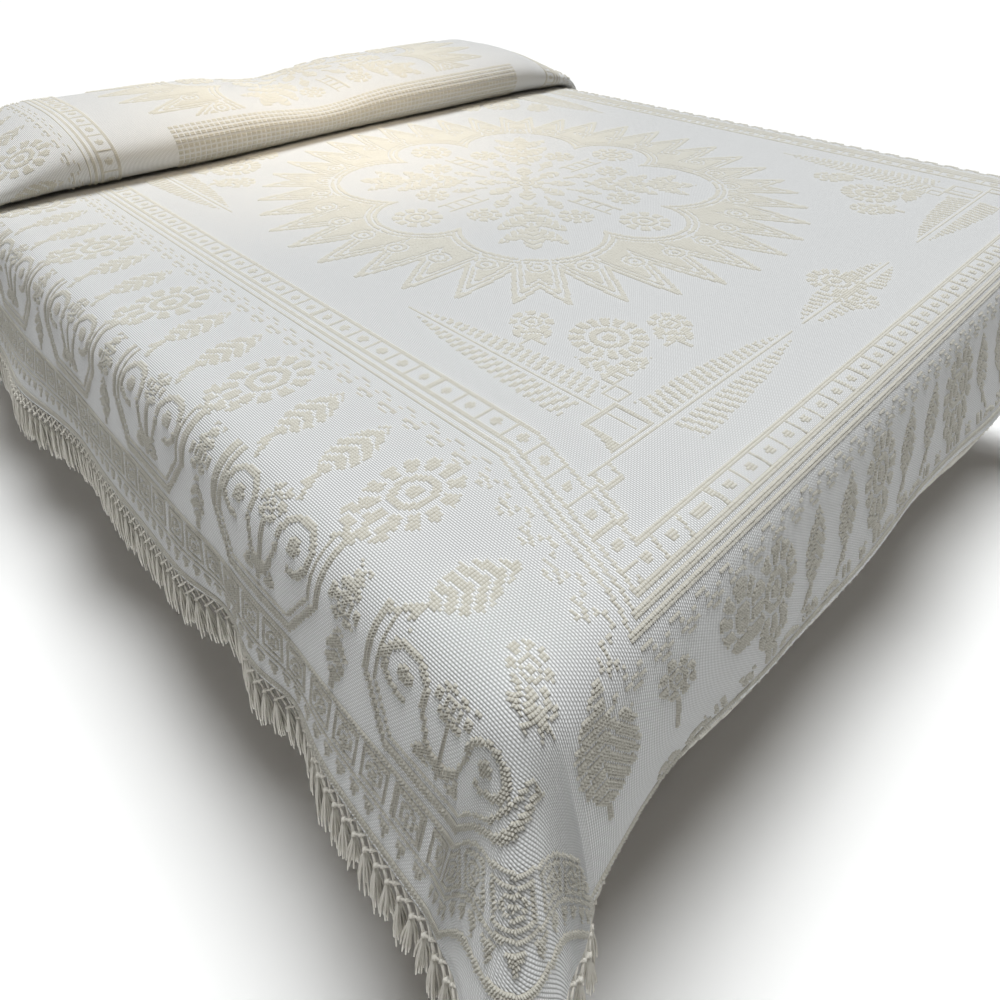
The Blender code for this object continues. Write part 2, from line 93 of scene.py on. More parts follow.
LEAN_BASE = math.radians(13.5)
LEAN_SPREAD = math.radians(5.0)
SPREAD_REACH = 1.0
CONE_REACH = {-1: 0.12, 1: 0.25}  # left corner, right corner
HEADING_REACH = 0.33
TURN_LENGTH = 0.41
CORNER_LEAN = {-1: math.radians(18.0), 1: math.radians(12.0)}
FOLD_POWER = 2.3
FOLD_DEEPEST = 1.3
FOLD_FADE = 0.4
LEFT_FOLDS = (  # each fold's middle, width and reach
    (0.22, 0.05, -0.013),
    (0.37, 0.06, -0.016),
    (0.55, 0.10, -0.002),
    (0.80, 0.09, -0.006),
    (1.02, 0.10, 0.014),
    (1.30, 0.09, 0.010),
    (1.62, 0.13, 0.015),
)
FOOT_FOLDS = (
    (0.13, 0.14, -0.023),
    (0.36, 0.10, -0.006),
    (0.67, 0.09, -0.003),
    (0.95, 0.12, 0.012),
    (1.16, 0.08, -0.006),
)
RIGHT_FOLDS = (
    (0.30, 0.09, 0.014),
    (0.62, 0.10, -0.006),
    (0.88, 0.11, 0.016),
    (1.24, 0.10, 0.012),
    (1.58, 0.11, 0.008),
)
BEND_STEPS = 12
TOP_POINTS = 120
FLAT_POINTS = 9
QUARTER_POINTS = 33
FOLD_POINTS = 17
BACK_POINTS = 49

SHEET_Z = TOP_HEIGHT + SHEET_LIFT
BEND_X = mattress_high.x + SIDE_GAP - BEND_RADIUS
BEND_Y = mattress_low.y - SIDE_GAP + BEND_RADIUS
TUCK_END_Y = TUCK_MOUTH_Y + TUCK_DEPTH
BEND_ARC = BEND_RADIUS * math.pi / 2
LEFT_FALL = HALF_WIDTH - CENTRE_X - BEND_X
RIGHT_FALL = HALF_WIDTH + CENTRE_X - BEND_X
FOOT_FALL = CENTRE_TO_FOOT_HEM - (CENTRE_Y - BEND_Y)
LEFT_HEM = -BEND_X - LEFT_FALL
RIGHT_HEM = BEND_X + RIGHT_FALL
CENTRE_RUN = CENTRE_Y - BEND_Y  # from the foot bend to the middle of the medallion

# --- The cloth's own sizes ---

LOOP_RISE = 0.0027
LOOP_ROOT = -0.0002  # a loop's foot dips into the ground weave at a motif's rim
LOOP_SHOULDER = 0.0005  # how far the hollows between loops stand off the ground weave
GROUND_PITCH = 0.0125  # between the points of the sheet's grid, and closer where it folds
FOLD_PITCH = 0.0012
TUCK_PITCH = 0.010
FRONT_PITCH = 0.006
RIB_PITCH = 0.00235  # ribs of the ground weave run along the bed
RIB_FULLNESS = 0.7  # below 1, a rib is broad and its groove narrow
FLOAT_PITCH = 0.0034
FLOAT_DEPTH = 0.2  # how far the gaps between floats dip, as a share of a rib
WEAVE_RELIEF = 0.0009


def ease(t):
    t = np.clip(t, 0.0, 1.0)
    return t * t * (3 - 2 * t)


def hump(t):
    return np.exp(-(t**2))


def bed_line():
    """The sheet's line on the bed seen from its side, as part of the spread's solid."""
    quarter = np.linspace(0, math.pi / 2, QUARTER_POINTS)[1:]
    turn = np.linspace(0, math.pi, FOLD_POINTS)[1:]
    fall = np.linspace(0, 1, BACK_POINTS)[1:]
    crown_end = TUCK_MOUTH_Y + PILLOW_CROWN_END
    back_end = crown_end + PILLOW_BACK_RUN
    under = PILLOW_BULGE_SHARE * (1 - np.cos(quarter))
    over = PILLOW_BULGE_SHARE + (1 - PILLOW_BULGE_SHARE) * np.sin(quarter)
    back = np.cos(fall * math.pi / 2) ** 2
    top = np.linspace(BEND_Y, TUCK_END_Y, TOP_POINTS)
    lower = np.linspace(TUCK_END_Y, TUCK_MOUTH_Y + PILLOW_FRONT_RADIUS, FLAT_POINTS)[1:]
    crown = np.linspace(TUCK_MOUTH_Y + PILLOW_CROWN_START, crown_end, FLAT_POINTS)[1:]
    head = np.linspace(back_end, HEAD_HEM_Y, FOLD_POINTS)[1:]
    stretches = {
        "top": (top, 0, 0),
        "fold": (TUCK_END_Y + LAYER / 2 * np.sin(turn), 0, (1 - np.cos(turn)) / 2),
        "lower": (lower, 0, 1),
        "front": (TUCK_MOUTH_Y + PILLOW_FRONT_RADIUS * (1 - np.sin(quarter)), under, 1 + under),
        "climb": (TUCK_MOUTH_Y + PILLOW_CROWN_START * (1 - np.cos(quarter)), over, 1 + over),
        "crown": (crown, 1, 2),
        "back": (crown_end + PILLOW_BACK_RUN * fall, back, 2 * back),
        "head": (head, 0, 0),
    }
    parts = [np.broadcast_arrays(*part) for part in stretches.values()]
    y, rise, layer = (np.concatenate(columns) for columns in zip(*parts))
    height = PILLOW_HEIGHT * rise + LAYER * layer
    run = np.concatenate([[0.0], np.cumsum(np.hypot(np.diff(y), np.diff(height)))])
    counts = np.cumsum([len(part[0]) for part in stretches.values()])
    ends = {name: float(run[count - 1]) for name, count in zip(stretches, counts)}
    return run, y, rise, layer, ends


LINE_RUN, LINE_Y, LINE_RISE, LINE_LAYER, LINE_END = bed_line()
HEAD_RUN = LINE_END["head"]
TUCK_RUN = LINE_END["top"] - TUCK_DEPTH  # to the tuck's mouth


def pillow_share(x):
    dip = 1 - PILLOW_DIP * hump((x - PILLOW_DIP_X) / PILLOW_DIP_WIDTH)
    return dip * (1 - ease((np.abs(x) - PILLOW_FULL_X) / (PILLOW_END_X - PILLOW_FULL_X)))


def mouth_shift(x, y):
    """The tuck's mouth isn't straight: it waves a little across the bed."""
    slow, fast = (np.sin(r * x + s) for r, s in zip(MOUTH_WAVE_RATES, MOUTH_WAVE_STARTS))
    grown = ease((y - TUCK_MOUTH_Y - MOUTH_WAVE_IN[0]) / MOUTH_WAVE_IN[1])
    faded = ease((y - MOUTH_WAVE_OUT[0]) / MOUTH_WAVE_OUT[1])
    return MOUTH_WAVE * (slow + fast / 2) * grown * (1 - faded)


def folds_at(folds, place):
    total = 0 * place
    for middle, width, reach in folds:
        total = total + reach * hump((place - middle) / width)
    return total


def drape(x, run):
    """Where the flat point (x, run) hangs: x from the bed's middle, run from the foot bend.

    Beyond the edges the sheet turns down over the bend and then runs straight, on a line that leans
    and heads outwards.  At a corner those lines make a cone.
    """
    on_bed = np.maximum(run, 0)
    lines = (LINE_Y, LINE_RISE, LINE_LAYER)
    y, rise, layer = (np.interp(on_bed, LINE_RUN, values) for values in lines)
    side = np.where(x < 0, -1.0, 1.0)
    past_side = np.maximum(np.abs(x) - BEND_X, 0)
    past_foot = np.maximum(-run, 0)
    past = np.hypot(past_side, past_foot)
    angle = np.where(past > 0, np.arctan2(past_foot, past_side), 0)
    from_corner = np.where(past_foot > 0, BEND_X - np.abs(x), y - BEND_Y)
    turn = np.where(
        (past_side > 0) & (past_foot > 0),
        angle / (math.pi / 2),
        np.where(past_foot > 0, 1 + from_corner / TURN_LENGTH, -from_corner / TURN_LENGTH),
    )
    cone = np.where(side < 0, CORNER_LEAN[-1], CORNER_LEAN[1])
    reach = np.where(side < 0, CONE_REACH[-1], CONE_REACH[1])
    from_middle = turn - 0.5
    lean = LEAN_BASE + cone * hump(from_middle / reach)
    lean = lean + LEAN_SPREAD * hump(from_middle / SPREAD_REACH)
    heading = math.pi / 4 * (1 + np.tanh(from_middle / HEADING_REACH))
    bend_length = BEND_RADIUS * (math.pi / 2 - lean)
    bent = np.minimum(past, bend_length)
    straight = past - bent

    def course(at):
        """The slope, and the heading in plan, at a place on the bend."""
        return at / BEND_RADIUS, angle + (heading - angle) * ease(at / bend_length)

    out_side = straight * np.sin(lean) * np.cos(heading)
    out_foot = straight * np.sin(lean) * np.sin(heading)
    down = straight * np.cos(lean)
    length = bent / BEND_STEPS
    for step in range(BEND_STEPS):
        slope, plan = course(length * (step + 0.5))
        out_side = out_side + length * np.cos(slope) * np.cos(plan)
        out_foot = out_foot + length * np.cos(slope) * np.sin(plan)
        down = down + length * np.sin(slope)

    slope, plan = course(bent)
    deep = np.clip(straight / (LEFT_FALL - BEND_ARC), 0, FOLD_DEEPEST) ** FOLD_POWER
    on_side = 1 - ease(turn / FOLD_FADE)
    on_foot = ease((turn - 1 + FOLD_FADE) / FOLD_FADE)
    edge_place = np.maximum(y - BEND_Y, 0)
    left, right = folds_at(LEFT_FOLDS, edge_place), folds_at(RIGHT_FOLDS, edge_place)
    along_side = np.where(side < 0, left, right)
    along_foot = folds_at(FOOT_FOLDS, np.minimum(x, BEND_X) + BEND_X)
    fold = deep * (on_side * along_side + on_foot * along_foot)
    lift = PILLOW_HEIGHT * rise * pillow_share(x) + LAYER * layer
    out = fold + lift * np.sin(slope)
    world_x = np.clip(x, -BEND_X, BEND_X) + side * (out_side + out * np.cos(plan))
    world_y = y + mouth_shift(x, y) - out_foot - out * np.sin(plan)
    world_z = SHEET_Z - down + lift * np.cos(slope)
    return np.stack([world_x, world_y, world_z], axis=-1)


def round_the_cut(x, run):
    """Moves a point of the uncut rectangle in towards the bed, so that the corners are round."""
    side = np.where(x < 0, -1.0, 1.0)
    fall = np.where(x < 0, LEFT_FALL, RIGHT_FALL)
    a = np.maximum(np.abs(x) - BEND_X, 0)
    b = np.maximum(-run, 0)
    angle = np.arctan2(b, np.maximum(a, 1e-9))
    cos, sin = np.cos(angle), np.sin(angle)
    square = np.minimum(fall / np.maximum(cos, 1e-9), FOOT_FALL / np.maximum(sin, 1e-9))
    centre_a, centre_b = fall - CORNER_CUT_RADIUS, FOOT_FALL - CORNER_CUT_RADIUS
    towards = centre_a * cos + centre_b * sin
    across = np.maximum(CORNER_CUT_RADIUS**2 - (centre_a**2 + centre_b**2 - towards**2), 0)
    rounded = towards + np.sqrt(across)
    low, high = np.arctan2(centre_b, fall), np.arctan2(FOOT_FALL, centre_a)
    share = np.where((angle > low) & (angle < high), rounded / square, 1.0)
    corner = (a > 0) & (b > 0)
    return np.where(corner, side * (BEND_X + a * share), x), np.where(corner, -b * share, run)


# --- Helpers ---


def put(thing, **settings):
    for name, value in settings.items():
        setattr(thing, name, value)


def deselect():
    bpy.ops.object.select_all(action="DESELECT")


def modify(piece, kind, **settings):
    """Adds a modifier to a piece and applies it."""
    modifier = piece.modifiers.new(kind, kind)
    put(modifier, **settings)
    bpy.context.view_layer.objects.active = piece
    bpy.ops.object.modifier_apply(modifier=modifier.name)


# --- Shader building ---


class Value:
    """A socket of a material that takes part in sums written as Python expressions."""

    def __init__(self, shader, socket):
        self.shader = shader
        self.socket = socket

    def math(self, operation, *others):
        return self.shader.node("ShaderNodeMath", {"operation": operation}, self, *others)

    __add__ = partialmethod(math, "ADD")
    __mul__ = partialmethod(math, "MULTIPLY")
    __truediv__ = partialmethod(math, "DIVIDE")
    __pow__ = partialmethod(math, "POWER")
    sin = partialmethod(math, "SINE")
    floor = partialmethod(math, "FLOOR")
    abs = partialmethod(math, "ABSOLUTE")


class Shader:
    """A new Principled material, and the methods that add nodes to it."""

    def __init__(self, name, colour, roughness):
        self.material = bpy.data.materials.new(name)
        self.material.use_nodes = True
        self.tree = self.material.node_tree
        self.surface = self.tree.nodes["Principled BSDF"]
        self.feed("Base Color", colour)
        self.feed("Roughness", roughness)

    def node(self, kind, settings=None, *values, output=0, **named):
        node = self.tree.nodes.new(kind)
        put(node, **(settings or {}))
        inputs = [(node.inputs[i], value) for i, value in enumerate(values)]
        inputs += [(node.inputs[name.replace("_", " ")], value) for name, value in named.items()]
        for socket, value in inputs:
            self.fill(socket, value)
        return Value(self, node.outputs[output])

    def fill(self, socket, value):
        """Links a value to a socket, or sets the socket to a colour or a number."""
        if isinstance(value, Value):
            self.tree.links.new(value.socket, socket)
        else:
            socket.default_value = (*value, 1.0) if socket.type == "RGBA" else value

    def place(self, output="Object"):
        """The Object coordinates, or the UV map, as a vector."""
        return self.node("ShaderNodeTexCoord", output=output)

    def split(self, vector):
        node = self.tree.nodes.new("ShaderNodeSeparateXYZ")
        self.fill(node.inputs[0], vector)
        return [Value(self, socket) for socket in node.outputs]

    def noise(self, vector, scale, detail=2.0):
        return self.node("ShaderNodeTexNoise", Vector=vector, Scale=scale, Detail=detail)

    def mix(self, share, first, second):
        """A colour between two colours."""
        node = self.tree.nodes.new("ShaderNodeMix")
        node.data_type = "RGBA"
        colours = [socket for socket in node.inputs if socket.type == "RGBA"]
        for socket, value in zip((node.inputs[0], *colours), (share, first, second)):
            self.fill(socket, value)
        return Value(self, next(socket for socket in node.outputs if socket.type == "RGBA"))

    def feed(self, name, value):
        self.fill(self.surface.inputs[name], value)

    def bump(self, height, distance):
        self.feed("Normal", self.node("ShaderNodeBump", Height=height, Distance=distance))


def ground_weave():
    """Ribbed cotton: ribs along the bed, broken into short floats that step from rib to rib, with
    painted shade in the grooves between the ribs.
    """
    shader = Shader("woven_cotton", (0.74, 0.74, 0.72), 0.9)
    u, v, _ = shader.split(shader.place("UV"))
    rib = (u * (math.pi / RIB_PITCH)).sin().abs() ** RIB_FULLNESS
    step = (u / RIB_PITCH).floor() * math.pi
    floats = (v * (2 * math.pi / FLOAT_PITCH) + step).sin()
    weave = rib * (floats * FLOAT_DEPTH + (1 - FLOAT_DEPTH))
    shader.bump(weave, WEAVE_RELIEF)
    slub = shader.noise(shader.place("UV"), 60.0, 3.0)
    worn = shader.noise(shader.place("UV"), 3.0, 2.0)
    # Painted shade: the grooves between the ribs are painted dark and the ribs light, after the
    # same weave height as the bump.
    groove = shader.mix(weave, (0.32, 0.32, 0.31), (0.955, 0.97, 0.98))
    tinted = shader.mix(worn * 0.1, groove, (0.90, 0.89, 0.86))
    shader.feed("Base Color", shader.mix(slub * 0.1, tinted, (0.92, 0.92, 0.91)))
    return shader.material


def loop_pile():
    """Cotton loops, a little creamier than the ground weave, with painted shade down between them.
    """
    shader = Shader("loop_pile", (0.80, 0.78, 0.71), 0.95)
    place = shader.place("UV")
    height = shader.node("ShaderNodeAttribute", {"attribute_name": "loop_height"}, output=2)
    yarn = shader.noise(place, 900.0, 2.0)
    tone = shader.noise(place, 12.0, 3.0)
    loops = shader.mix(tone, (0.75, 0.735, 0.665), (0.83, 0.825, 0.77))
    fibres = shader.mix(yarn * 0.3, loops, (0.66, 0.635, 0.56))
    # Painted shade: each loop is painted dark at its feet and light at its tip, after the
    # loop_height attribute.
    shader.feed("Base Color", shader.mix(height ** 0.6, (0.44, 0.415, 0.35), fibres))
    shader.bump(yarn, 0.0006)
    return shader.material


def fringe_yarn():
    shader = Shader("fringe_yarn", (0.80, 0.78, 0.71), 0.95)
    place = shader.place()
    tone = shader.noise(place, 45.0, 3.0)
    ply = shader.noise(place, 1500.0, 1.0)
    shader.feed("Base Color", shader.mix(tone, (0.72, 0.69, 0.62), (0.86, 0.84, 0.77)))
    shader.bump(ply, 0.0004)
    return shader.material


def plain_cloth(name, dark, light, thread):
    """Plain woven cloth: crossing threads in Object coordinates, with a painted highlight on the
    raised threads.
    """
    shader = Shader(name, light, 0.85)
    place = shader.place()
    x, y, z = shader.split(place)
    turn = math.pi / thread
    across = ((x + y) * turn).sin().abs()
    along = (z * turn).sin().abs()
    weave = (across + along) * 0.5
    cloud = shader.noise(place, 6.0, 3.0)
    # Painted highlight: where the threads stand high, after the bump's weave height, they are
    # painted lighter.
    raised = tuple(min(1.0, c * 1.06) for c in light)
    shader.feed("Base Color", shader.mix(weave * 0.3, shader.mix(cloud, dark, light), raised))
    shader.bump(weave, 0.0004)
    return shader.material


# --- The woven design ---

LOOP_PITCH = 0.0035  # along the bed
LOOP_WIDTH = 0.0028  # across it
GRID_MARGIN = 0.004  # the loops stop this far inside the hems
SEEN_INTO_TUCK = 0.004  # farther in, and this far up the pillows' front, there are no loops
FRONT_BARE = 0.012
LEFT_DROP = -0.70  # this and the next three are the flat places where the pile's pieces meet
RIGHT_DROP = 0.645
FOOT_DROP = -0.76
FOOT_LEFT_END = -0.50
ONE_LOOP = 0.0020  # half widths of lines one, one and a half and two loops wide
SLANT_LOOP = 0.0027
TWO_LOOPS = 0.0038
FOOT_SHIFT = 0.130  # the foot's border lies this much farther out than the side borders
FIELD_HALF = 0.56
FIELD_FOOT = -0.695
TEETH = 40
TOOTH_TIP = 0.492
TOOTH_ROOT = 0.388
TOOTH_LEAN = 0.09
MEDALLION_U = -0.030
MEDALLION_STRETCH = 1.06
PILLOW_MEDALLION_V = 1.00
RINGS = 32
RING_AT = 0.372
BOX_IN = 0.5805
BOX_OUT = 0.6120
BOX_PITCH = 0.0390
DOUBLE_LINE = (0.6225, 0.6330)
ZIGZAG_AT = 0.6460
ZIGZAG_STEP = 0.0070
ZIGZAG_GAP = 0.0090
TOOTH_PITCH = 0.0126  # along the edge of a leaf or a feather
VEIN_PITCH = 0.0168
TURN_UP = 0.60  # from here on the cloth lies in the tuck or on the pillows
RIBS_END = 0.752  # the cross ribs on the pillows' front, from the turn-up to here
RIBS_HALF = 0.47
PILLOW_PATTERN_FROM = 0.765  # where the pattern starts again, past the ribs and beside them
PILLOW_PATTERN_BESIDE = 0.485
RIB_ROW_PITCH = 0.0105
RIB_BEAD_PITCH = 0.0112
ROW_PITCH = 0.26  # the flowers, leaves and shields outside the border
FLOWER_AT = -0.273
FOOT_ROW_STRETCH = 1.07  # the foot row is a little tighter than the side rows
FOOT_ROW_END = 0.55
SHIELD_AT = -0.185
SHIELD_HALF = 0.098
SHIELD_TOP = 0.800  # the row of flowers and leaves ends here too
SHIELD_NARROWS = 0.868
SHIELD_BOTTOM = 0.926
BAND_AT = 0.961
BAND_HALF = 0.0240
BAND_TEETH = (0.0305, 0.0480)  # their start and end, out from the band's middle
BAND_HEM_LINE = 0.0600
BAND_PITCH = 0.043
BAND_TURN = 1.729  # sum of both places where the band turns the corner
BAND_END = 0.80
FOOT_HEM_LINE = 0.830
HEM_CLEAR = 0.01  # bare cloth before that line
SIDE_ROW_END = 0.47
CORNER = (0.68, 0.675)  # beside and below: from here on there are single motifs only
CORNER_MOTIFS = (0.674, 0.57, 0.45)  # out, beside and below: from here on they may lie
BAND_CLEAR = 0.03


def near(value, place, half=ONE_LOOP):
    return np.abs(value - place) < half


def repeat(value, pitch, middle=0.0):
    """Distance from the nearest middle of a repeat."""
    return (value - middle + pitch / 2) % pitch - pitch / 2


def turned(u, v, place, angle):
    """Places seen from a motif's own foot: along it and across it."""
    du, dv = u - place[0], v - place[1]
    cos, sin = math.cos(angle), math.sin(angle)
    return du * cos + dv * sin, dv * cos - du * sin


def polar(away, angle):
    return away * math.cos(angle), away * math.sin(angle)


def line(u, v, start, end):
    length = math.hypot(end[0] - start[0], end[1] - start[1])
    s, t = turned(u, v, start, math.atan2(end[1] - start[1], end[0] - start[0]))
    return (s > -SLANT_LOOP) & (s < length + SLANT_LOOP) & (np.abs(t) < SLANT_LOOP)


def open_square(u, v, place, half):
    far = np.maximum(np.abs(u - place[0]), np.abs(v - place[1]))
    return near(far, half - ONE_LOOP)


def flower(u, v, place, radius, petals=12):
    """A flower head: a fringe of petals, a bare ring and a heart."""
    du, dv = u - place[0], v - place[1]
    far, angle = np.hypot(du, dv), np.arctan2(dv, du)
    petal = np.cos(petals * angle) > -0.45
    rim = (far > radius * 0.62) & (far < radius) & petal
    heart = (far < radius * 0.50) & ~near(far, radius * 0.25, radius * 0.07)
    return rim | heart


def leaf(u, v, place, angle, length, half_width):
    """A leaf with toothed sides and bare veins, from its stalk to its tip."""
    s, t = turned(u, v, place, angle)
    share = np.clip(s / length, 0, 1)
    tooth = np.abs(repeat(s, TOOTH_PITCH)) / (TOOTH_PITCH / 2)
    wide = half_width * np.sin(math.pi * share**0.8) ** 0.8 * (0.80 + 0.20 * tooth)
    inside = (s > 0) & (s < length) & (np.abs(t) < wide)
    vein = np.abs(repeat(s + 0.8 * np.abs(t), VEIN_PITCH)) < 0.0022
    stalk = (s > -0.022) & (s <= 0) & (np.abs(t) < SLANT_LOOP)
    return (inside & ~vein) | stalk


def leaf_pair(u, v, place, angle, spread, length, half_width):
    """Two leaves on one stalk's end, each turned by the spread."""
    left = leaf(u, v, place, angle + spread, length, half_width)
    return left | leaf(u, v, place, angle - spread, length, half_width)


def fern(u, v, place, angle, length, half_width, stalk):
    """A feather: slanting barbs on both sides of a stem, wide at its foot, pointed at its tip."""
    s, t = turned(u, v, place, angle)
    share = np.clip(s / length, 0, 1)
    wide = half_width * (1 - share**1.8) ** 0.8
    barb = np.abs(repeat(s - 0.30 * np.abs(t), TOOTH_PITCH)) < 0.0032
    inside = (s > 0) & (s < length) & (np.abs(t) < wide) & (np.abs(t) > 0.0066)
    stem = (s > -stalk) & (s < length) & (np.abs(t) < SLANT_LOOP)
    return (inside & barb) | stem


def lobed_edge(u, v):
    """Distance out from the eight-lobed line round the medallion's middle."""
    far = np.hypot(u, v) - 0.245
    for lobe in range(8):
        angle = lobe * math.pi / 4
        away, radius = (0.245, 0.080) if lobe % 2 == 0 else (0.232, 0.112)
        centre_u, centre_v = polar(away, angle)
        far = np.minimum(far, np.hypot(u - centre_u, v - centre_v) - radius)
    return far


# A spray's leaf pairs: the place of each on the stem, its length and its half width
SPRAY = ((0.125, 0.062, 0.015), (0.170, 0.085, 0.018), (0.225, 0.082, 0.016))


def rosette(u, v):
    """The medallion's middle: a star of leaves, then a ladder or a spray out into each lobe."""
    pile = flower(u, v, (0, 0), 0.034, 8)
    for lobe in range(8):
        angle = lobe * math.pi / 4
        pile |= leaf(u, v, polar(0.044, angle), angle, 0.052, 0.016)
        if lobe % 2 == 0:
            s, t = turned(u, v, (0.0, 0.0), angle)
            rung = near(repeat(s, 0.0210), 0) & (np.abs(t) < 0.015)
            pile |= (near(np.abs(t), 0.0150) | rung) & (s > 0.112) & (s < 0.205)
            pile |= flower(u, v, polar(0.262, angle), 0.041, 10)
            for side in (-1, 1):
                pile |= flower(u, v, polar(0.184, angle + side * 0.36), 0.029, 8)
        else:
            pile |= leaf(u, v, polar(0.225, angle), angle, 0.088, 0.020)
            for away, length, half_width in SPRAY:
                pile |= leaf_pair(u, v, polar(away, angle), angle, 0.72, length, half_width)
    for ray in range(8):
        angle = (ray + 0.5) * math.pi / 4
        pile |= leaf(u, v, polar(0.100, angle), angle, 0.045, 0.013)
    return pile


def sunburst(u, v):
    """The medallion: its middle, the lobed line, a ringed band and a rim of pointed teeth."""
    v = v / MEDALLION_STRETCH
    r, angle = np.hypot(u, v), np.arctan2(v, u)
    from_axis = repeat(angle, math.pi / 2)
    outward = (TOOTH_TIP - r) / (TOOTH_TIP - TOOTH_ROOT)
    turn = (angle - TOOTH_LEAN * from_axis * outward) / (2 * math.pi)
    tooth = np.abs(2 * ((turn * TEETH) % 1) - 1)
    rim = np.minimum(TOOTH_TIP - (TOOTH_TIP - TOOTH_ROOT) * tooth, TOOTH_TIP - 0.007)
    depth = (rim - r) * 0.33
    outline = (depth < 0.0062) | ((depth > 0.0104) & (depth < 0.0150)) | (depth > 0.0190)
    round_ring = repeat(angle, 2 * math.pi / RINGS) * r
    from_ring = np.hypot(round_ring, r - RING_AT)
    ring = near(from_ring, 0.0125, 0.0026) | (from_ring < 0.0040)
    band = np.where(from_ring < 0.0195, ring, outline)
    lobes = lobed_edge(u, v)
    edge_gap = near(lobes, 0.0085, 0.0024) | near(lobes, 0.0190, 0.0022)
    return ((depth > 0) & (lobes > 0) & band & ~edge_gap) | ((lobes < -0.010) & rosette(u, v))


def border(out, along):
    """A row of small boxes with a dot in each, a double line and a zigzag of stepped dashes."""
    pile = near(out, BOX_IN) | near(out, BOX_OUT)
    for line_at in DOUBLE_LINE:
        pile |= near(out, line_at)
    place = repeat(along, BOX_PITCH)
    inside = (out > BOX_IN) & (out < BOX_OUT)
    bar = near(np.abs(place), BOX_PITCH / 2)
    heart = np.hypot(place, out - (BOX_IN + BOX_OUT) / 2) < 0.0062
    aside = np.abs(place)
    level = ZIGZAG_AT + np.floor(aside / ZIGZAG_STEP) * ZIGZAG_STEP
    zigzag = near(out, level + ZIGZAG_GAP) & (aside > ZIGZAG_STEP)
    zigzag |= near(out, level)
    return pile | (inside & (bar | heart)) | zigzag


def outer_row(out, along):
    """A flower head and two toothed leaves by turns."""
    at_flower = repeat(along, ROW_PITCH, FLOWER_AT)
    pile = flower(at_flower, (out - 0.724) * 0.82, (0.0, 0.0), 0.043, 12)
    pile |= line(at_flower, out, (0.0, 0.772), (-0.010, 0.800))
    for side in (-1, 1):
        stalk = (side * 0.006, 0.792)
        pile |= leaf(at_flower, out, stalk, side * 0.85 - math.pi / 2, 0.034, 0.010)
    for offset in (0.090, 0.172):
        at_leaf = repeat(along, ROW_PITCH, FLOWER_AT + offset)
        pile |= leaf(at_leaf, out, (-0.006, 0.770), -math.pi / 2 + 0.12, 0.092, 0.024)
        pile |= line(at_leaf, out, (-0.006, 0.770), (-0.022, 0.800))
    return pile


def hook(p, h, place, hand):
    """A scroll's end: most of a ring, and a heart in it."""
    dp, dh = (p - place[0]) * hand, h - place[1]
    far, angle = np.hypot(dp, dh), np.arctan2(dh, dp)
    ring = near(far, 0.0245, TWO_LOOPS) & ~((angle > 1.75) & (angle < 2.9))
    return ring | (far < 0.0090)


def shields(out, bottom_out, along):
    """Large shields on the falls, with a double line, two scrolls and a small tree in each."""
    place = repeat(along, ROW_PITCH, SHIELD_AT)
    narrow = np.clip((out - SHIELD_NARROWS) / (SHIELD_BOTTOM - SHIELD_NARROWS), 0, 1)
    half = SHIELD_HALF - 0.040 * narrow
    depth = np.minimum((half - np.abs(place)) * 0.92, SHIELD_BOTTOM - bottom_out)
    pile = near(depth, 0.0045, TWO_LOOPS) | near(depth, 0.0160)
    for hand in (-1, 1):
        pile |= hook(place, out, (hand * 0.049, 0.836), hand)
        pile |= line(place, out, (hand * 0.026, 0.846), (hand * 0.012, 0.885))
    pile |= leaf_pair(place, out, (0.0, 0.884), math.pi / 2, 1.15, 0.034, 0.010)
    pile |= flower(place, out, (0.0, 0.818), 0.019, 6)
    pile |= line(place, out, (0.0, 0.836), (0.0, 0.900))
    between = repeat(along, ROW_PITCH, SHIELD_AT + ROW_PITCH / 2)
    outside = np.abs(between) < ROW_PITCH / 2 - SHIELD_HALF - 0.004
    stem = leaf(between, out, (0.0, 0.918), -math.pi / 2, 0.058, 0.016)
    stem |= flower(between, out, (0.0, 0.836), 0.021, 6)
    stem |= leaf(between, out, (0.0, 0.818), -math.pi / 2, 0.034, 0.011)
    return (pile | (stem & outside)) & (out > SHIELD_TOP) & (bottom_out < SHIELD_BOTTOM + 0.001)


def hem_band(out, along):
    """A row of squares with a flower in each, between lines, and small teeth above the hem."""
    from_band = out - BAND_AT
    pile = near(np.abs(from_band), BAND_HALF)
    at = repeat(along, BAND_PITCH)
    far = np.maximum(np.abs(at), np.abs(from_band))
    heart = np.hypot(at, from_band)
    pile |= near(far, 0.0158) | (heart < 0.0034) | near(heart, 0.0088, 0.0018)
    start, end = BAND_TEETH
    teeth = np.abs(repeat(along, BAND_PITCH / 2)) < (end - from_band) * 0.45
    pile |= teeth & (from_band > start) & (from_band < end)
    return pile | near(from_band, BAND_HEM_LINE, TWO_LOOPS)


def field_corner(u, v):
    """In each corner of the field: two ferns, a stair of open squares and three flowers."""
    pile = fern(u, v, (-0.504, -0.545), math.pi / 2, 0.300, 0.041, 0.07)
    pile |= fern(u, v, (-0.470, -0.629), 0.0, 0.268, 0.043, 0.10)
    pile |= flower(u, v, (-0.379, -0.480), 0.049, 16)
    for place in ((-0.417, -0.386), (-0.295, -0.511)):
        pile |= flower(u, v, place, 0.028, 8)
        foot = (place[0] - 0.030, place[1] - 0.030)
        pile |= leaf_pair(u, v, foot, math.pi / 4, 0.85, 0.034, 0.011)
    pile |= leaf_pair(u, v, (-0.432, -0.533), math.pi / 4, 1.0, 0.055, 0.014)
    stair = ((-0.592, -0.664, 0.024), (-0.553, -0.640, 0.013), (-0.510, -0.598, 0.026))
    stair += ((-0.468, -0.562, 0.013), (-0.448, -0.540, 0.009))
    for across, along, half in stair:
        pile |= open_square(u, v, (across, along), half)
    return pile


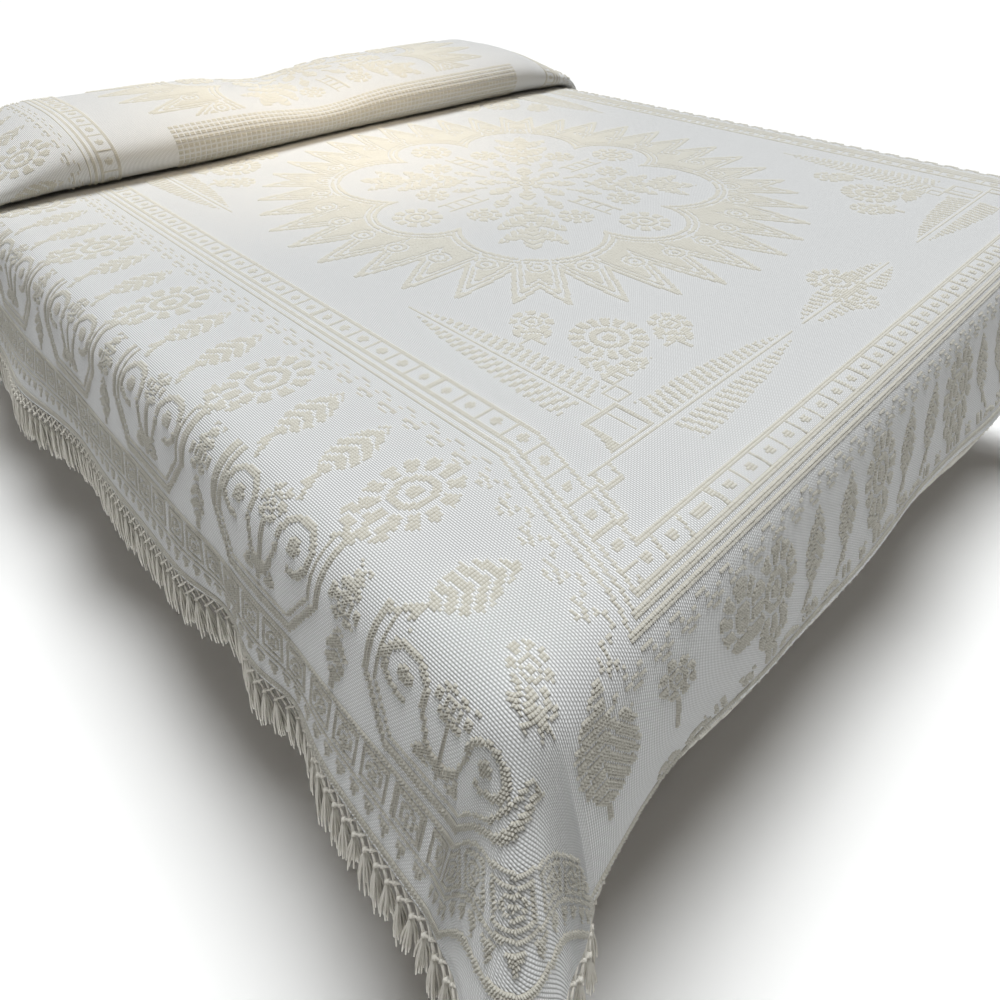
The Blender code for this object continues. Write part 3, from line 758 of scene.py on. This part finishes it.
def field_foot(u, v):
    """At the middle of the field's foot: a flower on a level stem, with a spray at each side."""
    pile = flower(u, v, (-0.025, -0.603), 0.040, 14) | flower(u, v, (-0.060, -0.645), 0.030, 10)
    for side in (-1, 1):
        place = (-0.040 + side * 0.030, -0.629)
        pile |= fern(u, v, place, 0.0 if side > 0 else math.pi, 0.105, 0.030, 0.02)
    return pile


def fall_corner(u, v):
    """Single motifs that turn the corner outside the border."""
    pile = leaf(u, v, (-0.776, -0.640), -0.22, 0.098, 0.026)
    pile |= line(u, v, (-0.776, -0.640), (-0.806, -0.618))
    pile |= flower(u, v, (-0.735, -0.731), 0.023, 8)
    pile |= line(u, v, (-0.750, -0.748), (-0.764, -0.772))
    pile |= leaf_pair(u, v, (-0.756, -0.758), 0.95, 1.1, 0.030, 0.009)
    pile |= leaf(u, v, (-0.722, -0.880), 1.08, 0.140, 0.042)
    pile |= flower(u, v, (-0.600, -0.834), 0.024, 8)
    return pile | line(u, v, (-0.612, -0.856), (-0.630, -0.890))


def turning_band(beside, v):
    """Past the shields at a foot corner: the band of squares cuts across the corner."""
    return BAND_AT + (beside - v - BAND_TURN) / math.sqrt(2), (v + beside) / math.sqrt(2)


def cross_ribs(u, v):
    """Rows of beads that run straight across, where the spread turns up over the pillows."""
    row = (np.abs(repeat(v, RIB_ROW_PITCH)) < 0.0036) & (np.abs(repeat(u, RIB_BEAD_PITCH)) > 0.0014)
    return row & (v > TURN_UP) & (v < RIBS_END) & (np.abs(u) < RIBS_HALF)


# The cloth is drawn out towards the left foot corner, so the border swings out there
PULL_START = -0.55
PULL_SLOPE = 0.31
PULL_END = -0.78
PULL_FADE = 0.2
PULL_SIDES = (-0.525, -0.72)  # grows in past the first place and fades past the second
PULL_GROWS = 0.04


def pull(u, v):
    """How far the pull has moved the border at the flat place (u, v)."""
    along = PULL_SLOPE * (PULL_START - np.clip(v, PULL_END, PULL_START))
    along = along * (1 - ease((PULL_END - v) / PULL_FADE))
    grown = ease((PULL_SIDES[0] - u) / PULL_GROWS)
    return along * grown * (1 - ease((PULL_SIDES[1] - u) / PULL_FADE))


def design(u, v):
    """Where the flat cloth has pile."""
    drawn_u = u + pull(u, v)
    beside, below = np.abs(drawn_u), -v - FOOT_SHIFT
    out = np.maximum(beside, below)
    on_foot = below > beside
    along = np.where(on_foot, -beside * FOOT_ROW_STRETCH, v)
    turned_out, turned_along = turning_band(beside, v)
    at_turn = turned_out > beside
    band_out, band_along = np.where(at_turn, turned_out, beside), np.where(at_turn, turned_along, v)
    above_hem = below < FOOT_HEM_LINE - HEM_CLEAR
    at_corner = (beside > CORNER[0]) & (below > CORNER[1])
    row_ends = (~on_foot & (below > SIDE_ROW_END)) | (on_foot & (beside > FOOT_ROW_END))
    pile = border(out, along)
    pile |= hem_band(band_out, band_along) & (beside > BAND_END)
    pile |= near(below, FOOT_HEM_LINE, TWO_LOOPS) & (beside < BAND_END)
    pile |= ~(row_ends & (out < SHIELD_TOP)) & ~at_corner & outer_row(out, along)
    pile |= ~at_corner & shields(out, np.where(on_foot, out, band_out), along) & above_hem
    out_from, beside_from, below_from = CORNER_MOTIFS
    by_corner = (out > out_from) & (beside > beside_from) & (below > below_from)
    pile |= by_corner & (band_out < BAND_AT - BAND_CLEAR) & above_hem & fall_corner(-beside, v)
    field = (beside < FIELD_HALF) & (v > FIELD_FOOT)
    on_bed = v < TURN_UP
    pile |= field & on_bed & sunburst(u - MEDALLION_U, v)
    pile |= (beside < BOX_IN) & (v > FIELD_FOOT) & on_bed & field_corner(-beside, -np.abs(v))
    pile |= field & (v < 0) & field_foot(u, v)
    pile |= cross_ribs(u, v)
    by_ribs = (v < PILLOW_PATTERN_FROM) & (np.abs(u) < PILLOW_PATTERN_BESIDE)
    on_pillow = (np.abs(u) < FIELD_HALF) & (v > TURN_UP) & ~by_ribs
    return pile | (on_pillow & sunburst(u - MEDALLION_U, v - PILLOW_MEDALLION_V))


# --- Meshes ---


def new_object(name, data):
    made = bpy.data.objects.new(name, data)
    bpy.context.scene.collection.objects.link(made)
    return made


def dress(piece, material):
    piece.data.materials.append(material)
    piece.data.shade_smooth()
    return piece


def add_piece(name, mesh, material):
    return dress(new_object(name, mesh), material)


def mesh_from(name, points, faces, uv_by_point=None):
    """A mesh from arrays; every face has the same number of corners."""
    mesh = bpy.data.meshes.new(name)
    corners = faces.shape[1]
    mesh.vertices.add(len(points))
    mesh.vertices.foreach_set("co", np.ascontiguousarray(points, dtype=np.float32).ravel())
    mesh.loops.add(faces.size)
    mesh.loops.foreach_set("vertex_index", faces.astype(np.int32).ravel())
    mesh.polygons.add(len(faces))
    mesh.polygons.foreach_set("loop_start", np.arange(0, faces.size, corners, dtype=np.int32))
    if uv_by_point is not None:
        layer = mesh.uv_layers.new(name="flat")
        layer.data.foreach_set("uv", uv_by_point[faces.ravel()].astype(np.float32).ravel())
    mesh.update(calc_edges=True)
    mesh.validate()
    return mesh


def unit(vectors):
    return vectors / np.maximum(np.linalg.norm(vectors, axis=-1, keepdims=True), 1e-12)


def grid_normals(points):
    """Outward normals of a grid of points, rows along the bed and columns across it."""
    return unit(np.cross(np.gradient(points, axis=1), np.gradient(points, axis=0)))


def stations(spans):
    places = [spans[0][0]]
    for start, stop, pitch in spans:
        steps = max(1, round((stop - start) / pitch))
        places += [start + (stop - start) * (i + 1) / steps for i in range(steps)]
    return np.array(places)


def build_ground(material):
    """The thin woven sheet: a grid laid on the solid's folds, with a thickness."""
    columns = stations(((LEFT_HEM, RIGHT_HEM, GROUND_PITCH),))
    rows = stations(
        (
            (-FOOT_FALL, LINE_END["top"], GROUND_PITCH),
            (LINE_END["top"], LINE_END["fold"], FOLD_PITCH),
            (LINE_END["fold"], LINE_END["lower"], TUCK_PITCH),
            (LINE_END["lower"], LINE_END["front"], FRONT_PITCH),
            (LINE_END["front"], HEAD_RUN, GROUND_PITCH),
        )
    )
    bpy.ops.mesh.primitive_grid_add(
        x_subdivisions=len(columns) - 1, y_subdivisions=len(rows) - 1, size=1.0
    )
    sheet = bpy.context.object
    sheet.name = "ground_weave"
    mesh = sheet.data
    x, run = (grid.ravel() for grid in round_the_cut(*np.meshgrid(columns, rows)))
    mesh.vertices.foreach_set("co", drape(x, run).astype(np.float32).ravel())
    flat = np.stack([x - CENTRE_X, run - CENTRE_RUN], axis=-1)
    corner_vertex = np.empty(len(mesh.loops), np.int32)
    mesh.loops.foreach_get("vertex_index", corner_vertex)
    layer = mesh.uv_layers[0]
    layer.data.foreach_set("uv", flat[corner_vertex].astype(np.float32).ravel())
    mesh.shade_smooth()
    mesh.materials.append(material)
    modify(sheet, "SOLIDIFY", thickness=SHEET_THICKNESS, offset=0.0)
    return sheet


def pile_grid():
    """The loop grid: hung corner points, their normals, flat places, and which cells have pile."""
    x = stations(((LEFT_HEM + GRID_MARGIN, RIGHT_HEM - GRID_MARGIN, LOOP_WIDTH),))
    run = stations(((-FOOT_FALL + GRID_MARGIN, HEAD_RUN - GRID_MARGIN, LOOP_PITCH),))
    x, run = round_the_cut(*np.meshgrid(x, run))
    points = drape(x, run)
    normals = grid_normals(points)
    flat = np.stack([x - CENTRE_X, run - CENTRE_RUN], axis=-1)
    middle = (flat[:-1, :-1] + flat[1:, 1:]) / 2
    pile = design(middle[..., 0], middle[..., 1])
    mid_run = (run[:-1, :-1] + run[1:, 1:]) / 2
    hidden = (mid_run > TUCK_RUN + SEEN_INTO_TUCK) & (mid_run < LINE_END["lower"] + FRONT_BARE)
    return points, normals, flat, pile & ~hidden


def build_pile(name, grid, zone, material):
    """One zone of loops: each cell rises from its own four corners to a point."""
    points, normals, flat, pile = grid
    rows, columns = points.shape[:2]
    around = np.zeros((rows, columns), int)
    for down in (0, 1):
        for over in (0, 1):
            around[down : rows - 1 + down, over : columns - 1 + over] += pile
    top = SHEET_THICKNESS / 2
    feet = points + normals * (top + np.where(around == 4, LOOP_SHOULDER, LOOP_ROOT))[..., None]
    i, j = np.nonzero(pile & zone)
    uneven = 0.5 + 0.5 * np.sin(i * 12.9898 + j * 78.233 + np.sin(i * 3.7 + j * 9.1) * 40)
    rise = top + LOOP_RISE * (0.80 + 0.40 * uneven)
    ring = ((i, j), (i, j + 1), (i + 1, j + 1), (i + 1, j))
    centre = sum(points[place] for place in ring) / 4
    apex = centre + normals[i, j] * rise[:, None]
    all_points = np.stack([feet[place] for place in ring] + [apex], axis=1).reshape(-1, 3)
    middle_flat = sum(flat[place] for place in ring) / 4
    all_flat = np.stack([flat[place] for place in ring] + [middle_flat], axis=1).reshape(-1, 2)
    first = np.arange(len(i))[:, None] * 5
    faces = np.concatenate([first + np.array([[k, (k + 1) % 4, 4]]) for k in range(4)])
    mesh = mesh_from(name, all_points, faces, all_flat)
    # loop_height runs from 0 at a loop's feet to 1 at its tip; the pile material paints shade
    # between the loops from it.
    height = mesh.attributes.new("loop_height", "FLOAT", "POINT")
    height.data.foreach_set("value", np.tile(np.array([0, 0, 0, 0, 1], np.float32), len(i)))
    return add_piece(name, mesh, material)


def build_piles(material):
    grid = pile_grid()
    flat = grid[2]
    u, v = flat[:-1, :-1, 0], flat[:-1, :-1, 1]
    drop = (u < LEFT_DROP) | (u > RIGHT_DROP) | (v < FOOT_DROP)
    left, field = u < FOOT_LEFT_END, np.abs(u) < FIELD_HALF
    zones = {
        "pile_medallion": ~drop & (v < TURN_UP) & field,
        "pile_border": ~drop & (v < TURN_UP) & ~field,
        "pile_pillow": ~drop & (v >= TURN_UP),
        "pile_left_fall": drop & left,
        "pile_foot_fall": drop & ~left & (v < FOOT_DROP),
        "pile_right_fall": drop & ~left & (v >= FOOT_DROP),
    }
    return [build_pile(name, grid, zone, material) for name, zone in zones.items()]


# --- Fringe ---

HEM_STEP = 0.004
HEM_INWARD = 0.01  # how far in from the hem the sheet's direction is taken
FIRST_KNOTS = 0.0095  # down from the hem
FRINGE_HEADING = 0.018
FRINGE_LENGTH = 0.085
KNOT_PITCH = 0.0165
FIRST_KNOT_RADIUS = 0.0030
SECOND_KNOT_RADIUS = 0.0036
CORD_RADIUS = 0.0013
STRAND_RADIUS = 0.0012
STRAND_SWELL = (1.0, 1.15, 1.15, 1.05, 0.6)
STRAND_STOPS = (0.0, 0.18, 0.45, 0.75, 1.0)
STRANDS = 13
STRAND_TURN = 2.4  # round the tassel, from one strand to the next
TASSEL_RADIUS = 0.0074
TASSEL_SWAY = 0.0030
WANDER_SIDE = 0.0016
WANDER_OUT = 0.0012
HANG_LEAN = 0.35
FOOT_FRINGE_TUCK = 0.27
FOOT_FLATTENING = 0.6
FOOT_TUCK_START = -0.05
FOOT_TUCK_LENGTH = 0.12


def tubes(paths, radii, sides):
    """Closed tubes round many lines at once.  paths is (lines, places, 3), radii (places,)."""
    count, places = paths.shape[:2]
    along = unit(np.gradient(paths, axis=1))
    helper = np.where(np.abs(along[..., 2:3]) > 0.85, (1.0, 0.0, 0.0), (0.0, 0.0, 1.0))
    first = unit(np.cross(along, helper))
    second = np.cross(along, first)
    turn = np.arange(sides) * 2 * math.pi / sides
    cos, sin = np.cos(turn)[:, None], np.sin(turn)[:, None]
    ring = first[:, :, None, :] * cos + second[:, :, None, :] * sin
    points = paths[:, :, None, :] + ring * np.asarray(radii)[None, :, None, None]
    base = np.arange(count)[:, None, None] * places * sides
    step = np.arange(places - 1)[None, :, None] * sides
    corner = np.arange(sides)[None, None, :]
    a = base + step + corner
    b = base + step + (corner + 1) % sides
    quads = np.stack([a, b, b + sides, a + sides], axis=-1).reshape(-1, 4)
    triangles = np.concatenate([quads[:, [0, 1, 2]], quads[:, [0, 2, 3]]])
    caps = []
    for end in (0, places - 1):
        first_corner = np.arange(count) * places * sides + end * sides
        for k in range(1, sides - 1):
            order = (0, k + 1, k) if end == 0 else (0, k, k + 1)
            caps.append(np.stack([first_corner + o for o in order], axis=-1))
    return points.reshape(-1, 3), np.concatenate([triangles] + caps)


def cords(starts, ends):
    return tubes(np.stack([starts, (starts + ends) / 2, ends], axis=1), [CORD_RADIUS] * 3, 4)


def knots(places, radius):
    """Small eight-faced balls, one at each place."""
    ends = [(1, 0, 0), (0, 1, 0), (-1, 0, 0), (0, -1, 0), (0, 0, 1), (0, 0, -1)]
    points = places[:, None, :] + np.array(ends, float) * radius
    sides = [(k, (k + 1) % 4) for k in range(4)]
    faces = np.array([(a, b, 4) for a, b in sides] + [(b, a, 5) for a, b in sides])
    ids = np.arange(len(places))[:, None, None] * 6 + faces[None]
    return points.reshape(-1, 3), ids.reshape(-1, 3)


def join_parts(parts):
    points, faces, start = [], [], 0
    for part_points, part_faces in parts:
        points.append(part_points)
        faces.append(part_faces + start)
        start += len(part_points)
    return np.concatenate(points), np.concatenate(faces)


def hem_path():
    down_left = [(LEFT_HEM, run) for run in np.arange(HEAD_RUN, -FOOT_FALL, -HEM_STEP)]
    across = [(x, -FOOT_FALL) for x in np.arange(LEFT_HEM, RIGHT_HEM, HEM_STEP)]
    up_right = [(RIGHT_HEM, run) for run in np.arange(-FOOT_FALL, HEAD_RUN, HEM_STEP)]
    path = np.stack(round_the_cut(*np.array(down_left + across + up_right).T), axis=-1)
    return path[(path[:, 1] > LINE_END["front"]) | (path[:, 1] < TUCK_RUN)]


def hem_points(path):
    """The hung hem and the sheet's own direction there."""
    x, run = path[:, 0], path[:, 1]
    edge = drape(x, run)
    core_x, core_run = np.clip(x, -BEND_X, BEND_X), np.maximum(run, 0)
    length = np.maximum(np.hypot(x - core_x, run - core_run), 1e-9)
    back_x, back_run = (x - core_x) / length * HEM_INWARD, (run - core_run) / length * HEM_INWARD
    return edge, unit(edge - drape(x - back_x, run - back_run))


def foot_share(path):
    """How far the fringe is turned in: fully under the foot's hem, not at the cut corners."""
    share = ease((BEND_X - np.abs(path[:, 0]) - FOOT_TUCK_START) / FOOT_TUCK_LENGTH)
    return np.where(path[:, 1] > -FOOT_FALL + 0.001, 0.0, share)


def turned_in(ways, shares):
    """The ways the fringe hangs, turned in under the foot by their shares."""
    return unit(ways * (1 - shares) + np.array((0.0, FOOT_FRINGE_TUCK, -1.0)) * shares)


def build_fringe(name, node, path, material):
    """Cords crossed and knotted into two rows of meshes, then a tassel from each knot."""
    edge, direction = hem_points(path)
    run = np.concatenate([[0.0], np.cumsum(np.linalg.norm(np.diff(edge, axis=0), axis=-1))])
    count = int(run[-1] / KNOT_PITCH)
    places = (np.arange(count) + 0.5) * run[-1] / count

    def at(values, where):
        return np.stack([np.interp(where, run, column) for column in values.T], axis=-1)

    half = run[-1] / count / 2
    shares = np.interp(places, run, foot_share(path))[:, None]
    index = np.arange(count)
    sway = np.sin(index * 2.3) + 0.6 * np.sin(index * 5.1 + 1.0)
    first_row = at(edge, places) + turned_in(at(direction, places), shares) * FIRST_KNOTS
    second_way = turned_in(at(direction, places + half), shares)
    second_row = at(edge, places + half) + second_way * FRINGE_HEADING
    parts = []
    for shift in (-half, half):
        parts.append(cords(at(edge, places + shift), first_row))
    for offset in (0, 1):
        upper = first_row[offset:]
        parts.append(cords(upper, second_row[: len(upper)]))
    parts += [knots(first_row, FIRST_KNOT_RADIUS), knots(second_row, SECOND_KNOT_RADIUS)]
    lean = at(direction, places + half) * HANG_LEAN
    hang = turned_in(lean + np.array((0.0, 0.0, HANG_LEAN - 1)), shares)
    tangent = unit(np.gradient(second_row, axis=0))
    outward = np.cross(tangent, hang)
    length = (FRINGE_LENGTH - FRINGE_HEADING) * (0.93 + 0.05 * sway)
    for strand in range(STRANDS):
        side, out = polar(TASSEL_RADIUS * math.sqrt((strand + 0.5) / STRANDS), strand * STRAND_TURN)
        side = side + WANDER_SIDE * np.sin(index * (1.7 + strand) + strand * 2.1)
        out = out + WANDER_OUT * np.cos(index * 3.3 + strand)
        tail = length * (0.94 + 0.06 * np.sin(index * 7.7 + strand * 4.0))
        line = []
        for stop in STRAND_STOPS:
            open_out = math.sin(stop * math.pi / 2)
            place = second_row + hang * (tail * stop)[:, None]
            place = place + tangent * ((side + TASSEL_SWAY * sway * stop) * open_out)[:, None]
            opened = outward * (out * open_out)[:, None] * (1 - FOOT_FLATTENING * shares)
            line.append(place + opened)
        parts.append(tubes(np.stack(line, axis=1), STRAND_RADIUS * np.array(STRAND_SWELL), 3))
    mesh = mesh_from(name, *join_parts(parts))
    piece = add_piece(name, mesh, material)
    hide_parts(node)
    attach(piece, "root")
    return piece


def build_fringes(material):
    path = hem_path()
    away = [np.hypot(path[:, 0] - hem, path[:, 1] + FOOT_FALL) for hem in (LEFT_HEM, RIGHT_HEM)]
    left, right = (int(np.argmin(distances)) for distances in away)
    return [
        build_fringe("knotted_fringe_left", "fringe_left", path[: left + 1], material),
        build_fringe("knotted_fringe_foot", "fringe_foot", path[left : right + 1], material),
        build_fringe("knotted_fringe_right", "fringe_right", path[right:], material),
    ]


# --- What the spread lies on ---

SAME_PLACE = 0.00002
PILLOW_DIVIDE = 2
EDGE_RADIUS = 0.04  # of the mattress's edges and corners
EDGE_SEGMENTS = 6
WELT_RADIUS = 0.0035
WELT_INSET = 0.038  # from the mattress's top and its foot


def build_pillow(node, name, material):
    """A pillow: the solid's form, finely divided."""
    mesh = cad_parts[node].data.copy()
    mesh.name = name
    mesh.materials.clear()
    form = bmesh.new()
    form.from_mesh(mesh)
    bmesh.ops.remove_doubles(form, verts=form.verts, dist=SAME_PLACE)
    bmesh.ops.recalc_face_normals(form, faces=form.faces)
    form.to_mesh(mesh)
    form.free()
    pillow = add_piece(name, mesh, material)
    deselect()
    pillow.select_set(True)
    modify(pillow, "SUBSURF", levels=PILLOW_DIVIDE, render_levels=PILLOW_DIVIDE)
    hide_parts(node)
    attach(pillow, "root")
    return pillow


def rounded_block(name, low, high, material):
    deselect()
    bpy.ops.mesh.primitive_cube_add(size=1.0, location=(low + high) / 2)
    block = bpy.context.object
    block.name = name
    block.scale = high - low
    bpy.ops.object.transform_apply(location=True, rotation=True, scale=True)
    modify(block, "BEVEL", width=EDGE_RADIUS, segments=EDGE_SEGMENTS)
    return dress(block, material)


def mattress_welt(name, height, material):
    """Round piping sewn right round the mattress at one height."""
    turn = np.linspace(0, math.pi / 2, 9)
    line = []
    for quarter, (sx, sy) in enumerate(((1, 1), (-1, 1), (-1, -1), (1, -1))):
        centre_x = (mattress_high.x if sx > 0 else mattress_low.x) - sx * EDGE_RADIUS
        centre_y = (mattress_high.y if sy > 0 else mattress_low.y) - sy * EDGE_RADIUS
        for angle in turn + quarter * math.pi / 2:
            x, y = polar(EDGE_RADIUS, angle)
            line.append((centre_x + x, centre_y + y, height))
    curve = bpy.data.curves.new(name, "CURVE")
    put(curve, dimensions="3D", bevel_depth=WELT_RADIUS, bevel_resolution=2)
    spline = curve.splines.new("POLY")
    spline.points.add(len(line) - 1)
    for point, place in zip(spline.points, line):
        point.co = (*place, 1.0)
    spline.use_cyclic_u = True
    guide = new_object(name + "_line", curve)
    bpy.context.view_layer.update()
    solid = guide.evaluated_get(bpy.context.evaluated_depsgraph_get())
    mesh = bpy.data.meshes.new_from_object(solid)
    bpy.data.objects.remove(guide)
    mesh.materials.clear()
    return add_piece(name, mesh, material)


def build_bed():
    ticking = plain_cloth("ticking", (0.74, 0.74, 0.73), (0.84, 0.84, 0.83), 0.0012)
    base_cloth = plain_cloth("base_cloth", (0.36, 0.34, 0.31), (0.47, 0.45, 0.42), 0.0020)
    pillow_case = plain_cloth("pillow_case", (0.82, 0.82, 0.81), (0.90, 0.90, 0.89), 0.0008)
    mattress = rounded_block("mattress_body", mattress_low, mattress_high, ticking)
    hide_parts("mattress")
    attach(mattress, "root")
    welts = {
        "mattress_welt_top": mattress_high.z - WELT_INSET,
        "mattress_welt_foot": mattress_low.z + WELT_INSET,
    }
    for name, height in welts.items():
        piping = mattress_welt(name, height, ticking)
        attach(piping, "root")
    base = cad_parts["bed_base"]
    base.data.materials.clear()
    base.data.materials.append(base_cloth)
    build_pillow("pillow_left", "pillow_case_left", pillow_case)
    build_pillow("pillow_right", "pillow_case_right", pillow_case)


# --- Stage ---

# The eye stands off the left foot corner, above the bed, and looks across it
EYE = Vector((-0.938, -1.184, TOP_HEIGHT + 0.445))
EYE_HEADING = math.radians(44.2)  # from +Y towards +X
EYE_PITCH = math.radians(34.71)
FOCAL_PIXELS = 716.0
FRAME_PIXELS = 1000.0
EYE_POINT_Y = 398.0  # the line of sight meets the picture here, above its middle
SENSOR = 36.0
GLOW_PLACE = (-0.1, -0.30, 1.35)  # a warm lamp towards the pillows
GLOW_TARGET = (-0.05, 0.42, 0.68)


def build_camera():
    camera = bpy.data.cameras.new("camera")
    camera.sensor_width = SENSOR
    camera.lens = FOCAL_PIXELS / FRAME_PIXELS * SENSOR
    camera.shift_y = (EYE_POINT_Y - FRAME_PIXELS / 2) / FRAME_PIXELS
    camera.clip_start = 0.02
    eye = new_object("camera", camera)
    eye.location = EYE
    eye.rotation_euler = (math.pi / 2 - EYE_PITCH, 0.0, -EYE_HEADING)
    bpy.context.scene.camera = eye


def add_light(name, kind, place, rotation, **settings):
    lamp = bpy.data.lights.new(name, kind)
    put(lamp, **settings)
    light = new_object(name, lamp)
    light.location = place
    light.rotation_euler = rotation


def build_stage():
    world = bpy.data.worlds.new("studio")
    world.use_nodes = True
    backdrop = world.node_tree.nodes["Background"]
    backdrop.inputs["Color"].default_value = (1.0, 0.86, 0.70, 1.0)
    backdrop.inputs["Strength"].default_value = 0.07
    bpy.context.scene.world = world
    tilt = (math.radians(-8), math.radians(10), 0.0)
    sky = {"energy": 3.4, "angle": math.radians(32), "color": (0.965, 0.985, 1.0)}
    add_light("soft_overhead", "SUN", (0.0, 0.0, 0.0), tilt, **sky)
    look = (Vector(GLOW_TARGET) - Vector(GLOW_PLACE)).to_track_quat("-Z", "Y").to_euler()
    glow = (1.0, 0.83, 0.60)
    disk = {"energy": 1.5, "shape": "DISK", "size": 0.5, "spread": math.radians(95), "color": glow}
    add_light("head_glow", "AREA", GLOW_PLACE, look, **disk)
    deselect()
    bpy.ops.mesh.primitive_plane_add(size=40.0, location=(0, 0, -0.0005))
    floor = bpy.context.object
    floor.name = "floor"
    paint = Shader("floor_paint", (1.0, 1.0, 0.99), 0.8)
    floor.data.materials.append(paint.material)
    bpy.context.scene.view_settings.view_transform = "Standard"


build_camera()
build_stage()
build_bed()

ground = build_ground(ground_weave())
piles = build_piles(loop_pile())
fringes = build_fringes(fringe_yarn())
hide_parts("bedspread")
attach(ground, "root")
for pile in piles:
    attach(pile, "root")
